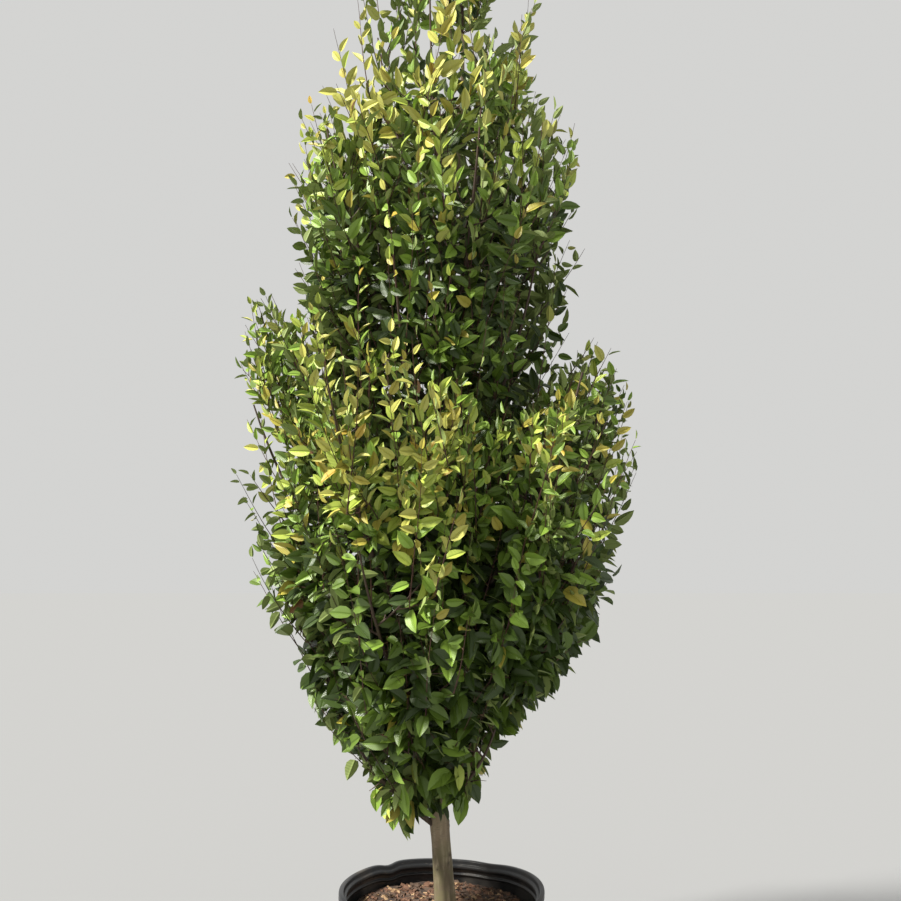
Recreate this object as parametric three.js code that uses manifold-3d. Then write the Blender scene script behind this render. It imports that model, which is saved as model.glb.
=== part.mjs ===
// A columnar hornbeam in its nursery pot: a leaning trunk, ascending boughs and, at the end of
// each bough, a mass of twigs and leaves that keeps to its own space in the crown.
// Millimetres, +Z up. The origin is the centre of the pot's flat underside, and the photograph's
// right is +X. Heights of the tree are told above the top of its soil.
import * as THREE from 'three';
import { mergeVertices } from 'three/addons/utils/BufferGeometryUtils.js';
import Module from 'manifold-3d';

// Clear gap between two pieces that touch on the real tree
const GAP = 0.3;

// Pot: a squat round container with two bands and a rolled rim, drawn in a little out of round
const POT_HEIGHT = 430;
const POT_RADIUS = 305;
const POT_FOOT_RADIUS = 258;
const POT_WALL = 4;
const POT_FLOOR = 6;
const POT_LIP_HEIGHT = 26;
const POT_LIP_DEPTH = 11;
const POT_BAND_HEIGHT = 15;
const POT_BAND_DEPTH = 6;
const POT_BAND_DROPS = [62, 118];
const POT_CORNER = 7;
const POT_LIP_ROUND = 9;
const POT_SIDES = 32;
const SOIL_TOP = 365;

// Trunk: its course to the right, and its width, by height above the soil
const TRUNK_X = 18;
const TRUNK_HEIGHT = 2640;
const TRUNK_SIDES = 12;
const TRUNK_STEPS = 16;
const TRUNK_STEP_GROWTH = 1.5;
const TRUNK_COURSE = [[0, 0], [165, -12], [320, -23], [420, -38], [680, -50],
  [1200, -44], [1700, -14], [2200, 30], [2500, 50], [3200, 52]];
const TRUNK_WIDTH = [[0, 74], [30, 67], [80, 62], [200, 56], [600, 51], [1200, 41],
  [1900, 28], [2500, 13], [2640, 10]];

// Reach of the leaves to the left and to the right of the crown's axis, by height above the soil:
// the skirt of low boughs, whose shoots stand up in front of the column above it
const SKIRT = [[240, 140, 50], [350, 205, 110], [470, 285, 140], [550, 365, 225], [610, 385, 345],
  [800, 425, 465], [920, 520, 527], [1100, 555, 562], [1370, 602, 632], [1520, 650, 600],
  [1640, 672, 500], [1830, 585, 330]];
const COLUMN = [[900, 200, 200], [1400, 360, 330], [1700, 425, 378], [1880, 445, 408],
  [2110, 458, 446], [2230, 488, 446], [2340, 442, 452], [2440, 390, 442], [2530, 350, 415],
  [2650, 305, 340], [2760, 260, 270], [2920, 205, 205], [3070, 130, 130], [3160, 45, 45]];

// Rings of boughs from the lowest up. foot: height where they leave the trunk; tip: height where
// the stem of their mass ends; out: share of the reach there; turn: bearing of the first; gate:
// share of the line from foot to tip where the bough ends and its mass starts.
const RINGS = [
  { count: 3, profile: SKIRT, foot: 285, tip: 590, out: 0.78, turn: 195, thick: 19, gate: 0.34 },
  { count: 5, profile: SKIRT, foot: 415, tip: 1080, out: 0.85, turn: 248, thick: 23, gate: 0.44 },
  { count: 5, profile: SKIRT, foot: 670, tip: 1550, out: 0.88, turn: 176, thick: 26, gate: 0.46 },
  { count: 4, profile: COLUMN, foot: 1080, tip: 1950, out: 0.78, turn: 242, thick: 22, gate: 0.46 },
  { count: 4, profile: COLUMN, foot: 1420, tip: 2330, out: 0.78, turn: 195, thick: 20, gate: 0.46 },
  { count: 3, profile: COLUMN, foot: 1880, tip: 2690, out: 0.70, turn: 270, thick: 15, gate: 0.46 },
];
const FOOT_STAGGER = 46;
const TIP_STAGGER = 45;
const TURN_JITTER = 9;

// Line of a bough and of the stem that runs on from it: how far out and how steeply the elbow
// lies, and where on that line the heart of its mass is
const ELBOW_OUT = 0.74;
const ELBOW_CLIMB = 0.46;
const HEART = 0.72;
const STEM_TIP_WIDTH = 5;
const WIDTH_FALL = 0.8;
const BOUGH_SIDES = 6;
const STEM_SIDES = 4;
const LINE_STEPS = 4;

// Leader above the trunk's tip: its width, its heart, its end below the top and its twigs' angles
const LEADER_WIDTH = 8;
const LEADER_HEART = 0.45;
const LEADER_TIP_DROP = 130;
const LEADER_OPENINGS = [58, 20];

// Twigs of a mass and the leaves on them, each leaf standing for a small spray
const TWIGS = 13;
const TWIG_WIDTH = 10;
const TWIG_SIDES = 4;
const TWIG_TAPER = 0.7;
const TWIG_LONGEST = 260;
const TWIG_OPENINGS = [95, 34];
const OPENING_JITTER = 8;
const TWIG_SHARES = [0.04, 0.99];
const FIRST_NODE = 40;
const NODE_SPACING = 44;
const GOLDEN_ANGLE = 137.5;
const LEAF_LENGTH = 178;
const LEAF_WIDTH = 92;
const LEAF_WIDEST = 86;
const LEAF_SUNK = 2;
const LEAF_THICK = 3;
const LEAF_DROOP = 22;
const LEAF_SPLAY = 56;
const SPLAY_JITTER = 12;
const LEAF_TILT = 0.9;
const LEAF_SHINGLE = 0.25;
const LEAF_SIZES = [1, 0.8, 0.62];

// Space of a mass: margin to its neighbours, and how far height counts in who is nearest
const CELL_MARGIN = 6;
const CELL_HEIGHT_WEIGHT = 0.62;
const LIMB_MARGIN = 3;

// Core of a dense mass, flattened along the crown's surface: half its depth, width and height
const CORE_HALVES = [74, 150, 190];
const CORE_SHRINK = 0.08;
const CORE_LEAST = 0.2;
const CORE_STANDOFF = 1.1;

const POT_COLOUR = 0x1b1c1e;
const SOIL_COLOUR = 0x5c4334;
const TRUNK_COLOUR = 0x9a8a70;
const BOUGH_COLOUR = 0x6e5c48;
const LEAF_COLOURS = [0x4c6a24, 0x5d7a2a, 0x6f8a30, 0x7f9438];

const UP = new THREE.Vector3(0, 0, 1);
const ASIDE = new THREE.Vector3(1, 0.15, 0);
const wasm = await Module();
wasm.setup();

// A fixed value between 0 and 1 for each pair of numbers, so the tree always grows the same
function chance(index, kind) {
  const wave = Math.sin(index * 12.9898 + kind * 78.233) * 43758.5453;
  return wave - Math.floor(wave);
}

function jitter(index, kind, amount) {
  return (chance(index, kind) * 2 - 1) * amount;
}

// Straight-line reading of a table whose first column is the height
function read(table, height, column) {
  let row = 1;
  while (row < table.length - 1 && table[row][0] < height) row += 1;
  const [low, high] = [table[row - 1], table[row]];
  const share = THREE.MathUtils.clamp((height - low[0]) / (high[0] - low[0]), 0, 1);
  return THREE.MathUtils.lerp(low[column], high[column], share);
}

// Closed body with a flat ring of corners square to the heading at each point of a line. The
// first corner of the ring lies towards the given side.
function taperedBody(points, headings, radii, sides, towards = ASIDE) {
  const corners = [];
  const faces = [];
  let across = towards.clone();
  for (let i = 0; i < points.length; i += 1) {
    across = across.addScaledVector(headings[i], -across.dot(headings[i])).normalize();
    const third = new THREE.Vector3().crossVectors(headings[i], across);
    for (let k = 0; k < sides; k += 1) {
      const angle = k * 2 * Math.PI / sides;
      corners.push(points[i].clone()
        .addScaledVector(across, radii[i] * Math.cos(angle))
        .addScaledVector(third, radii[i] * Math.sin(angle)));
    }
  }
  const top = (points.length - 1) * sides;
  for (let start = 0; start < top; start += sides) {
    for (let k = 0; k < sides; k += 1) {
      const [a, b] = [start + k, start + (k + 1) % sides];
      faces.push(a, b, b + sides, a, b + sides, a + sides);
    }
  }
  for (let k = 1; k < sides - 1; k += 1) faces.push(0, k + 1, k, top, top + k, top + k + 1);
  const geometry = new THREE.BufferGeometry().setFromPoints(corners);
  geometry.setIndex(faces);
  return geometry;
}

function solidOf(geometry) {
  const bare = geometry.clone();
  bare.deleteAttribute('normal');
  bare.deleteAttribute('uv');
  const merged = mergeVertices(bare);
  const vertProperties = new Float32Array(merged.attributes.position.array);
  const triVerts = new Uint32Array(merged.index.array);
  return new wasm.Manifold(new wasm.Mesh({ numProp: 3, vertProperties, triVerts }));
}

// The largest body of a solid, without the scraps beside it and the hollows sealed in it
function wholeBody(solid) {
  return solid.decompose().reduce((best, next) => (next.volume() > best.volume() ? next : best));
}

function geometryOf(solid) {
  const { vertProperties, triVerts } = solid.getMesh();
  const geometry = new THREE.BufferGeometry();
  geometry.setAttribute('position', new THREE.BufferAttribute(vertProperties, 3));
  geometry.setIndex(new THREE.BufferAttribute(triVerts, 1));
  return geometry;
}

function namedMesh(name, geometry, colour, roughness) {
  const material = new THREE.MeshStandardMaterial({ color: colour, roughness, metalness: 0 });
  geometry.computeVertexNormals();
  const mesh = new THREE.Mesh(geometry, material);
  mesh.name = name;
  return mesh;
}

// Radius of the pot's plain wall at a height above its underside
function potWallRadius(height) {
  return THREE.MathUtils.lerp(POT_FOOT_RADIUS, POT_RADIUS - POT_LIP_DEPTH, height / POT_HEIGHT);
}

function potGeometry() {
  const outline = [[0, 0], [POT_FOOT_RADIUS - POT_CORNER, 0], [POT_FOOT_RADIUS, POT_CORNER]];
  for (const drop of [...POT_BAND_DROPS].reverse()) {
    const middle = POT_HEIGHT - drop;
    const foot = middle - POT_BAND_HEIGHT / 2;
    const head = middle + POT_BAND_HEIGHT / 2;
    outline.push([potWallRadius(foot), foot], [potWallRadius(middle) + POT_BAND_DEPTH, middle],
      [potWallRadius(head), head]);
  }
  const lip = POT_HEIGHT - POT_LIP_HEIGHT;
  const inside = potWallRadius(POT_HEIGHT) - POT_WALL;
  outline.push([potWallRadius(lip), lip], [POT_RADIUS - 3, lip + 4],
    [POT_RADIUS, POT_HEIGHT - POT_LIP_ROUND], [POT_RADIUS - POT_LIP_ROUND / 2, POT_HEIGHT],
    [inside + 2, POT_HEIGHT - 1], [inside, POT_HEIGHT - POT_LIP_ROUND],
    [potWallRadius(POT_FLOOR) - POT_WALL, POT_FLOOR], [0, POT_FLOOR]);
  const points = outline.map(([x, y]) => new THREE.Vector2(x, y));
  return new THREE.LatheGeometry(points, POT_SIDES).rotateX(Math.PI / 2);
}

// Growing medium that fills the pot up to a flat top
function soilGeometry() {
  const foot = POT_FLOOR + GAP;
  const side = POT_WALL + 2 * GAP + 1;
  const points = [[0, foot], [potWallRadius(foot) - side, foot],
    [potWallRadius(SOIL_TOP) - side, SOIL_TOP], [0, SOIL_TOP]];
  const outline = points.map(([x, y]) => new THREE.Vector2(x, y));
  return new THREE.LatheGeometry(outline, POT_SIDES).rotateX(Math.PI / 2);
}

function trunkPoint(height) {
  return new THREE.Vector3(TRUNK_X + read(TRUNK_COURSE, height, 1), 0, SOIL_TOP + height);
}

// The trunk, or with extra width the space that its neighbours leave free
function trunkGeometry(extra) {
  const heights = Array.from({ length: TRUNK_STEPS + 1 },
    (_, step) => TRUNK_HEIGHT * (step / TRUNK_STEPS) ** TRUNK_STEP_GROWTH);
  return taperedBody(heights.map((height) => trunkPoint(height + GAP)), heights.map(() => UP),
    heights.map((height) => read(TRUNK_WIDTH, height, 1) / 2 + extra), TRUNK_SIDES);
}

function crownReach(profile, height, bearing) {
  const toRight = (1 + Math.cos(bearing)) / 2;
  return THREE.MathUtils.lerp(read(profile, height, 1), read(profile, height, 2), toRight);
}

function crownPoint(radius, bearing, height) {
  return new THREE.Vector3(radius * Math.cos(bearing), radius * Math.sin(bearing),
    SOIL_TOP + height);
}

// One bough of a ring with the stem of its mass: a line from the trunk out and up to the tip
function boughLine(ring, place, index) {
  const bearing = THREE.MathUtils.degToRad(
    ring.turn + place * 360 / ring.count + jitter(index, 1, TURN_JITTER));
  const footHeight = ring.foot + place * FOOT_STAGGER * 2 / ring.count + jitter(index, 2, FOOT_STAGGER);
  const tipHeight = ring.tip + jitter(index, 3, TIP_STAGGER);
  const tipReach = ring.out * crownReach(ring.profile, tipHeight, bearing);
  const tip = crownPoint(tipReach, bearing, tipHeight);
  const elbow = crownPoint(tipReach * ELBOW_OUT, bearing,
    THREE.MathUtils.lerp(footHeight, tipHeight, ELBOW_CLIMB));
  const curve = new THREE.QuadraticBezierCurve3(trunkPoint(footHeight), elbow, tip);
  return { profile: ring.profile, curve, width: ring.thick, gate: ring.gate,
    heart: curve.getPoint(HEART), openings: TWIG_OPENINGS, cored: true };
}

// The leader above the trunk's tip, whose mass makes the top of the crown
function leaderLine() {
  const top = COLUMN.at(-1)[0] - LEADER_TIP_DROP;
  const curve = new THREE.QuadraticBezierCurve3(trunkPoint(TRUNK_HEIGHT + GAP),
    trunkPoint((TRUNK_HEIGHT + top) / 2), trunkPoint(top));
  return { profile: COLUMN, curve, width: LEADER_WIDTH, gate: 0, heart: curve.getPoint(LEADER_HEART),
    openings: LEADER_OPENINGS, cored: false };
}

function lineWidth(line, share) {
  return THREE.MathUtils.lerp(line.width, STEM_TIP_WIDTH, share ** WIDTH_FALL);
}

// Part of a line as a tapering body between two shares of it, or the wider space that it needs
function lineGeometry(line, from, to, sides, extra = 0) {
  const shares = Array.from({ length: LINE_STEPS + 1 },
    (_, step) => THREE.MathUtils.lerp(from, to, step / LINE_STEPS));
  return taperedBody(shares.map((share) => line.curve.getPoint(share)),
    shares.map((share) => line.curve.getTangent(share)),
    shares.map((share) => lineWidth(line, share) / 2 + extra), sides);
}

// Shares of a line where its bough stops and its mass starts, with the gap between them
function gateShares(line) {
  const half = GAP / 2 / line.curve.getLength();
  return [line.gate - half, line.gate + half];
}

// The room that mass number owner leaves free round the trunk, the boughs and the other stems
function limbRoom(owner, lines) {
  let room = solidOf(trunkGeometry(LIMB_MARGIN));
  lines.forEach((line, index) => {
    const [boughEnd, stemStart] = gateShares(line);
    if (line.gate > 0) room = room.add(solidOf(lineGeometry(line, 0, boughEnd, BOUGH_SIDES, LIMB_MARGIN)));
    if (index !== owner) {
      room = room.add(solidOf(lineGeometry(line, stemStart, 1, STEM_SIDES, LIMB_MARGIN)));
    }
  });
  return room;
}

function nearness(point, heart) {
  const rise = (point.z - heart.z) * CELL_HEIGHT_WEIGHT;
  return Math.hypot(point.x - heart.x, point.y - heart.y, rise);
}

// True where a point lies in the space of mass number owner: inside the crown's reach and
// nearest to that mass's heart
function inOwnSpace(point, owner, lines) {
  const height = point.z - SOIL_TOP;
  const { profile, heart } = lines[owner];
  const bearing = Math.atan2(point.y, point.x);
  if (height < profile[0][0] || height > profile.at(-1)[0]) return false;
  if (Math.hypot(point.x, point.y) > crownReach(profile, height, bearing)) return false;
  const own = nearness(point, heart) + CELL_MARGIN;
  return lines.every((other, index) => index === owner || nearness(point, other.heart) > own);
}

// How long a straight twig can grow from a point before its last leaf would leave the space
function twigLength(start, heading, fits) {
  const smallest = LEAF_LENGTH * LEAF_SIZES.at(-1);
  let length = TWIG_LONGEST;
  while (length > 0 && !fits(start.clone().addScaledVector(heading, length + smallest))) {
    length -= NODE_SPACING;
  }
  return length;
}

// Leaf blade that droops past its middle and has a raised midrib: root, left, right, tip, rib
function leafGeometry(root, along, facing, size) {
  const side = new THREE.Vector3().crossVectors(facing, along).normalize();
  const normal = new THREE.Vector3().crossVectors(along, side);
  const at = (forward, sideways, lift) => root.clone()
    .addScaledVector(along, forward * size - LEAF_SUNK)
    .addScaledVector(side, sideways * size)
    .addScaledVector(normal, lift * size);
  const corners = [at(0, 0, 0), at(LEAF_WIDEST, LEAF_WIDTH / 2, 0), at(LEAF_WIDEST, -LEAF_WIDTH / 2, 0),
    at(LEAF_LENGTH, 0, -LEAF_DROOP), at(LEAF_WIDEST, 0, LEAF_THICK)];
  const geometry = new THREE.BufferGeometry().setFromPoints(corners);
  geometry.setIndex([0, 4, 1, 0, 2, 4, 4, 3, 1, 2, 3, 4, 0, 1, 2, 1, 3, 2]);
  return geometry;
}

// Directions of the twigs round a stem, opening less and less towards its tip
function twigHeading(line, share, index) {
  const ahead = line.curve.getTangent(share);
  const side = new THREE.Vector3().crossVectors(ahead, UP).normalize();
  if (side.lengthSq() < 0.5) side.set(1, 0, 0);
  const third = new THREE.Vector3().crossVectors(side, ahead);
  const turn = THREE.MathUtils.degToRad(GOLDEN_ANGLE * index);
  const along = (share - line.gate) / (1 - line.gate);
  const opening = THREE.MathUtils.degToRad(
    THREE.MathUtils.lerp(...line.openings, along) + jitter(index, 4, OPENING_JITTER));
  return ahead.multiplyScalar(Math.cos(opening))
    .addScaledVector(side, Math.sin(opening) * Math.cos(turn))
    .addScaledVector(third, Math.sin(opening) * Math.sin(turn)).normalize();
}

// Which way the blades on a twig face: outwards and up, and a little towards its tip
function bladeFacing(start, heading) {
  return new THREE.Vector3(start.x, start.y, 0).normalize()
    .addScaledVector(UP, LEAF_TILT).addScaledVector(heading, LEAF_SHINGLE).normalize();
}

// A straight twig with flat sides to the left and right, where its leaves stand
function twigSolid(start, heading, length) {
  const end = start.clone().addScaledVector(heading, length);
  const side = new THREE.Vector3().crossVectors(heading, bladeFacing(start, heading)).normalize();
  const edge = side.clone().applyAxisAngle(heading, Math.PI / TWIG_SIDES);
  const radii = [TWIG_WIDTH / 2, TWIG_WIDTH / 2 * TWIG_TAPER];
  return solidOf(taperedBody([start, end], [heading, heading], radii, TWIG_SIDES, edge));
}

// Leaves at the nodes of a twig, by turns on its left and right, and one at its tip, overlapping
// like shingles and each as large as fits
function twigLeaves({ start, heading, length, index }, line, fits) {
  const facing = bladeFacing(start, heading);
  const side = new THREE.Vector3().crossVectors(heading, facing).normalize();
  const nodes = Math.floor((length - FIRST_NODE) / NODE_SPACING) + 1;
  return Array.from({ length: nodes }, (_, n) => n).flatMap((n) => {
    const root = start.clone().addScaledVector(heading, length - LEAF_SUNK - n * NODE_SPACING);
    const splay = n === 0 ? 0 : THREE.MathUtils.degToRad(LEAF_SPLAY + jitter(index * 7 + n, 5, SPLAY_JITTER));
    const hand = (index + n) % 2 === 0 ? 1 : -1;
    const along = heading.clone().multiplyScalar(Math.cos(splay))
      .addScaledVector(side, hand * Math.sin(splay)).normalize();
    const sizes = LEAF_SIZES.map((size) => leafGeometry(root, along, facing, size));
    return sizes.filter((leaf) => leafFits(leaf, fits) && standsOut(leaf, line)).slice(0, 1);
  });
}

function cornersOf(geometry) {
  const position = geometry.attributes.position;
  return Array.from({ length: position.count },
    (_, i) => new THREE.Vector3().fromBufferAttribute(position, i));
}

// True if a leaf's edges and midrib keep to the space, tested at its corners and between them
function leafFits(leaf, fits) {
  const [root, left, right, tip, rib] = cornersOf(leaf);
  const between = [left.clone().lerp(tip, 0.5), right.clone().lerp(tip, 0.5),
    left.clone().lerp(root, 0.5), right.clone().lerp(root, 0.5)];
  return [left, right, rib, tip, ...between].every(fits);
}

// The half sizes of a mass's core as three directions: outwards, sideways and up
function coreAxes(line) {
  const outward = new THREE.Vector3(line.heart.x, line.heart.y, 0).normalize();
  const sideways = new THREE.Vector3().crossVectors(UP, outward);
  return [outward, sideways, UP].map((axis, i) => axis.clone().multiplyScalar(CORE_HALVES[i]));
}

// True if a leaf's tip comes out of the mass's core
function standsOut(leaf, line) {
  const tip = cornersOf(leaf)[3].sub(line.heart);
  const shares = coreAxes(line).map((axis) => tip.dot(axis) / axis.lengthSq());
  return !line.cored || Math.hypot(...shares) > CORE_STANDOFF;
}

// Dense middle of a mass: a ball drawn in wherever it would leave the mass's space, and cut
// clear of the limbs that pass it
function coreSolid(line, fits, room) {
  const ball = new THREE.IcosahedronGeometry(1, 0);
  ball.deleteAttribute('normal');
  ball.deleteAttribute('uv');
  const core = mergeVertices(ball);
  const axes = coreAxes(line);
  cornersOf(core).forEach((corner, i) => {
    const place = (share) => line.heart.clone().addScaledVector(axes[0], corner.x * share)
      .addScaledVector(axes[1], corner.y * share).addScaledVector(axes[2], corner.z * share);
    let share = 1;
    while (share > CORE_LEAST && !fits(place(share))) share -= CORE_SHRINK;
    core.attributes.position.setXYZ(i, ...place(share).toArray());
  });
  return wholeBody(solidOf(core).subtract(room));
}

// The twigs of a mass that keep to its space, as straight lines from its stem
function massTwigs(line, owner, fits, room) {
  const twigs = [];
  for (let n = 0; n < TWIGS; n += 1) {
    const index = owner * 31 + n;
    const share = THREE.MathUtils.lerp(line.gate + TWIG_SHARES[0], TWIG_SHARES[1], n / (TWIGS - 1));
    const start = line.curve.getPoint(share);
    const heading = n === TWIGS - 1 ? line.curve.getTangent(1) : twigHeading(line, share, index);
    const length = fits(start) ? twigLength(start, heading, fits) : 0;
    const solid = length > 0 && twigSolid(start, heading, length);
    if (solid && solid.intersect(room).isEmpty()) twigs.push({ start, heading, length, index, solid });
  }
  return twigs;
}

// One mass: its stem, twigs and leaves fused, each twig and leaf left out where it doesn't fit
function massSolid(owner, lines) {
  const line = lines[owner];
  const fits = (point) => inOwnSpace(point, owner, lines);
  const room = limbRoom(owner, lines);
  const stem = solidOf(lineGeometry(line, gateShares(line)[1], 1, STEM_SIDES));
  const twigs = massTwigs(line, owner, fits, room);
  const leaves = [];
  for (const twig of twigs) {
    const others = [room, stem, ...twigs.filter((other) => other !== twig).map((other) => other.solid)];
    for (const blade of twigLeaves(twig, line, fits)) {
      const leaf = solidOf(blade);
      if ([...others, ...leaves].every((other) => other.intersect(leaf).isEmpty())) leaves.push(leaf);
    }
  }
  const core = line.cored ? [coreSolid(line, fits, room)] : [];
  const pieces = [...twigs.map((twig) => twig.solid), ...leaves, ...core];
  return wholeBody(pieces.reduce((mass, piece) => mass.add(piece), stem));
}

// A bough from the trunk's bark to the gate of its mass, cut clear of the trunk
function boughSolid(line, trunkSpace) {
  const end = gateShares(line)[0];
  const limb = solidOf(lineGeometry(line, 0, end, BOUGH_SIDES));
  return wholeBody(limb.subtract(trunkSpace));
}

function crownLines() {
  const lines = [];
  for (const ring of RINGS) {
    for (let place = 0; place < ring.count; place += 1) {
      lines.push(boughLine(ring, place, lines.length + 1));
    }
  }
  lines.push(leaderLine());
  return lines;
}

function number(index) {
  return String(index + 1).padStart(2, '0');
}

function buildTree() {
  const tree = new THREE.Group();
  const lines = crownLines();
  const trunkSpace = solidOf(trunkGeometry(GAP / Math.cos(Math.PI / TRUNK_SIDES)));
  tree.add(namedMesh('pot', potGeometry(), POT_COLOUR, 0.55));
  tree.add(namedMesh('soil', soilGeometry(), SOIL_COLOUR, 0.95));
  tree.add(namedMesh('trunk', trunkGeometry(0), TRUNK_COLOUR, 0.85));
  lines.forEach((line, index) => {
    if (line.gate > 0) {
      tree.add(namedMesh(`bough_${number(index)}`, geometryOf(boughSolid(line, trunkSpace)),
        BOUGH_COLOUR, 0.85));
    }
    const colour = LEAF_COLOURS[index % LEAF_COLOURS.length];
    tree.add(namedMesh(`foliage_${number(index)}`, geometryOf(massSolid(index, lines)),
      colour, 0.6));
  });
  return tree;
}

const group = buildTree();
export default group;
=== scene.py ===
import math

import bpy
import numpy as np
from bpy.props import FloatProperty, FloatVectorProperty, IntProperty, PointerProperty
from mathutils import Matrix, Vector, noise


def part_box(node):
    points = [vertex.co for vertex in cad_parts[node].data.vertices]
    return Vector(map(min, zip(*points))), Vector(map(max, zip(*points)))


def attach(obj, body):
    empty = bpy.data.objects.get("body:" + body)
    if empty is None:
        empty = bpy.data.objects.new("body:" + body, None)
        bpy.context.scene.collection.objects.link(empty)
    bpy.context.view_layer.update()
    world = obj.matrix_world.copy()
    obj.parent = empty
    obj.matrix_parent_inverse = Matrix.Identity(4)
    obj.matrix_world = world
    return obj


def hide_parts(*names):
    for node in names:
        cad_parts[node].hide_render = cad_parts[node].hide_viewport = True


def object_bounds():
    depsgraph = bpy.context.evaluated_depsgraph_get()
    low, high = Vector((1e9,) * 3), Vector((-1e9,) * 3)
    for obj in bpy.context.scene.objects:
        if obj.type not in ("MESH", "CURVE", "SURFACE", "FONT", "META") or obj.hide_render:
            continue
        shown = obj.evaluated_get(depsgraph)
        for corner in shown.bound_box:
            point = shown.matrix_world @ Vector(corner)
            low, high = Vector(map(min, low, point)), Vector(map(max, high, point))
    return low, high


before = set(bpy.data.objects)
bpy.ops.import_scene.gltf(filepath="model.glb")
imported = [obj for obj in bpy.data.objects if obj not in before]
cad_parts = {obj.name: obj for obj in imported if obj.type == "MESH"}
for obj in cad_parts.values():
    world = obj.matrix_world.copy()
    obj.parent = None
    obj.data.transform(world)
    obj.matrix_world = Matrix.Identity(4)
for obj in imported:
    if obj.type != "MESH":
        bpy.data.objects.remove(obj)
CAD_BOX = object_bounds()
SOIL_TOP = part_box("soil")[1].z

bl_info = {
    "name": "Potted columnar hornbeam",
    "version": (1, 0, 0),
    "blender": (4, 5, 0),
    "location": "3D View > Sidebar > Hornbeam",
    "description": "Dresses the packed frame of a columnar hornbeam in its nursery pot",
    "category": "Object",
}

UP = np.array([0.0, 0.0, 1.0])
FULL_TURN = 2 * math.pi
GOLDEN_ANGLE = math.radians(137.5)


def table(*rows):
    return np.array(rows)


# The growing rule of the part's source, in metres: the trunk's course and width, and how far the
# leaves reach to the left and to the right, all by height above the soil
TRUNK_X = 0.018
TRUNK_HEIGHT = 2.640
TRUNK_COURSE = table((0, 0), (165, -12), (320, -23), (420, -38), (680, -50), (1200, -44),
                     (1700, -14), (2200, 30), (2500, 50), (3200, 52)) / 1000
TRUNK_WIDTH = table((0, 74), (30, 67), (80, 62), (200, 56), (600, 51), (1200, 41), (1900, 28),
                    (2500, 13), (2640, 10)) / 1000
SKIRT = table((240, 140, 50), (350, 205, 110), (470, 285, 140), (550, 365, 225),
              (610, 385, 345), (800, 425, 465), (920, 520, 527), (1100, 555, 562),
              (1370, 602, 632), (1520, 650, 600), (1640, 672, 500), (1830, 585, 330)) / 1000
COLUMN = table((900, 200, 200), (1400, 360, 330), (1700, 425, 378), (1880, 445, 408),
               (2110, 458, 446), (2230, 488, 446), (2340, 442, 452), (2440, 390, 442),
               (2530, 350, 415), (2650, 305, 340), (2760, 260, 270), (2920, 205, 205),
               (3070, 130, 130), (3160, 45, 45)) / 1000
# The same skirt where its lowest leaves hang round the boughs
HANGING_SKIRT = np.vstack([table((240, 168, 78), (350, 232, 136), (470, 300, 178),
                                 (550, 368, 242)) / 1000, SKIRT[4:]])

# Rings of boughs from the lowest up, as (count, profile, foot, tip, out, turn, thick, gate)
RINGS = (
    (3, SKIRT, 0.285, 0.590, 0.78, 195, 0.019, 0.34),
    (5, SKIRT, 0.415, 1.080, 0.85, 248, 0.023, 0.44),
    (5, SKIRT, 0.670, 1.550, 0.88, 176, 0.026, 0.46),
    (4, COLUMN, 1.080, 1.950, 0.78, 242, 0.022, 0.46),
    (4, COLUMN, 1.420, 2.330, 0.78, 195, 0.020, 0.46),
    (3, COLUMN, 1.880, 2.690, 0.70, 270, 0.015, 0.46),
)
# How the boughs of a ring differ, where each bends, and where the heart of its mass is
FOOT_STAGGER = 0.046
TIP_STAGGER = 0.045
TURN_JITTER = 9
ELBOW_OUT = 0.74
ELBOW_CLIMB = 0.46
HEART = 0.72
STEM_TIP_WIDTH = 0.005
WIDTH_FALL = 0.8
# Twigs of a mass: how far they open from its stem at its gate and its tip, and where they stand
TWIG_OPENINGS = (95, 34)
OPENING_JITTER = 8
SOURCE_TWIGS = 13
TWIG_SHARES = (0.04, 0.99)
# The leader, which carries on from the trunk's tip
LEADER_WIDTH = 0.008
LEADER_HEART = 0.45
LEADER_TIP_DROP = 0.130
LEADER_OPENINGS = (58, 20)
CELL_HEIGHT_WEIGHT = 0.62

# How far the sprays of neighbouring masses pass into each other, how far off a mass counts as where
# its profile ends, and how far leaves may leave the solids' box and keep from the trunk
SHARED_EDGE = 0.030
FAR_OFF = 9.0
BOX_MARGIN = 0.026
TRUNK_CLEARANCE = 0.012
# Dips in the skirt's top, as (bearing, depth, narrowness), and its lowest leaves left and right
DIPS = ((-62, 0.34, 7), (108, 0.20, 4))
LOWEST_LEAVES = (0.234, 0.288)
LEFT_OF_TRUNK = -0.03

# In each pair of tables below the first is the skirt's and the second the column's, by height.
# Spans are (least, range). How strongly twigs and shoots turn up, how long they are, in nodes or
# as a share of the most, and how far side shoots open
TWIG_LIFT = table((0.3, 0.0), (0.8, 0.35), (1.1, 0.9), (1.5, 1.2), (2.0, 1.3), (3.2, 1.6))
SHOOT_LIFT = (table((0.3, 0.0), (0.8, 0.3), (1.1, 1.0), (1.5, 1.3), (1.83, 1.6)),
              table((0.9, 0.9), (1.8, 0.9), (2.2, 1.6), (3.2, 1.9)))
SWAY = 0.12
TWIG_LENGTHS = (0.7, 0.3)
SHORTEST_SHOOT = 4
SIDE_OPENINGS = (36, 24)

# Share of the crown's reach where most shoots end, by how much less they reach near its top, and
# how much further their leaves may go
BULK_REACH = (0.78, 0.95)
TOP_SHARE = table((2.2, 1.0), (2.45, 0.78), (2.65, 0.66), (2.80, 0.76), (3.0, 0.9))
LEAF_BEYOND = 0.05
LAST_TWIG_REACH = 0.97

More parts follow.
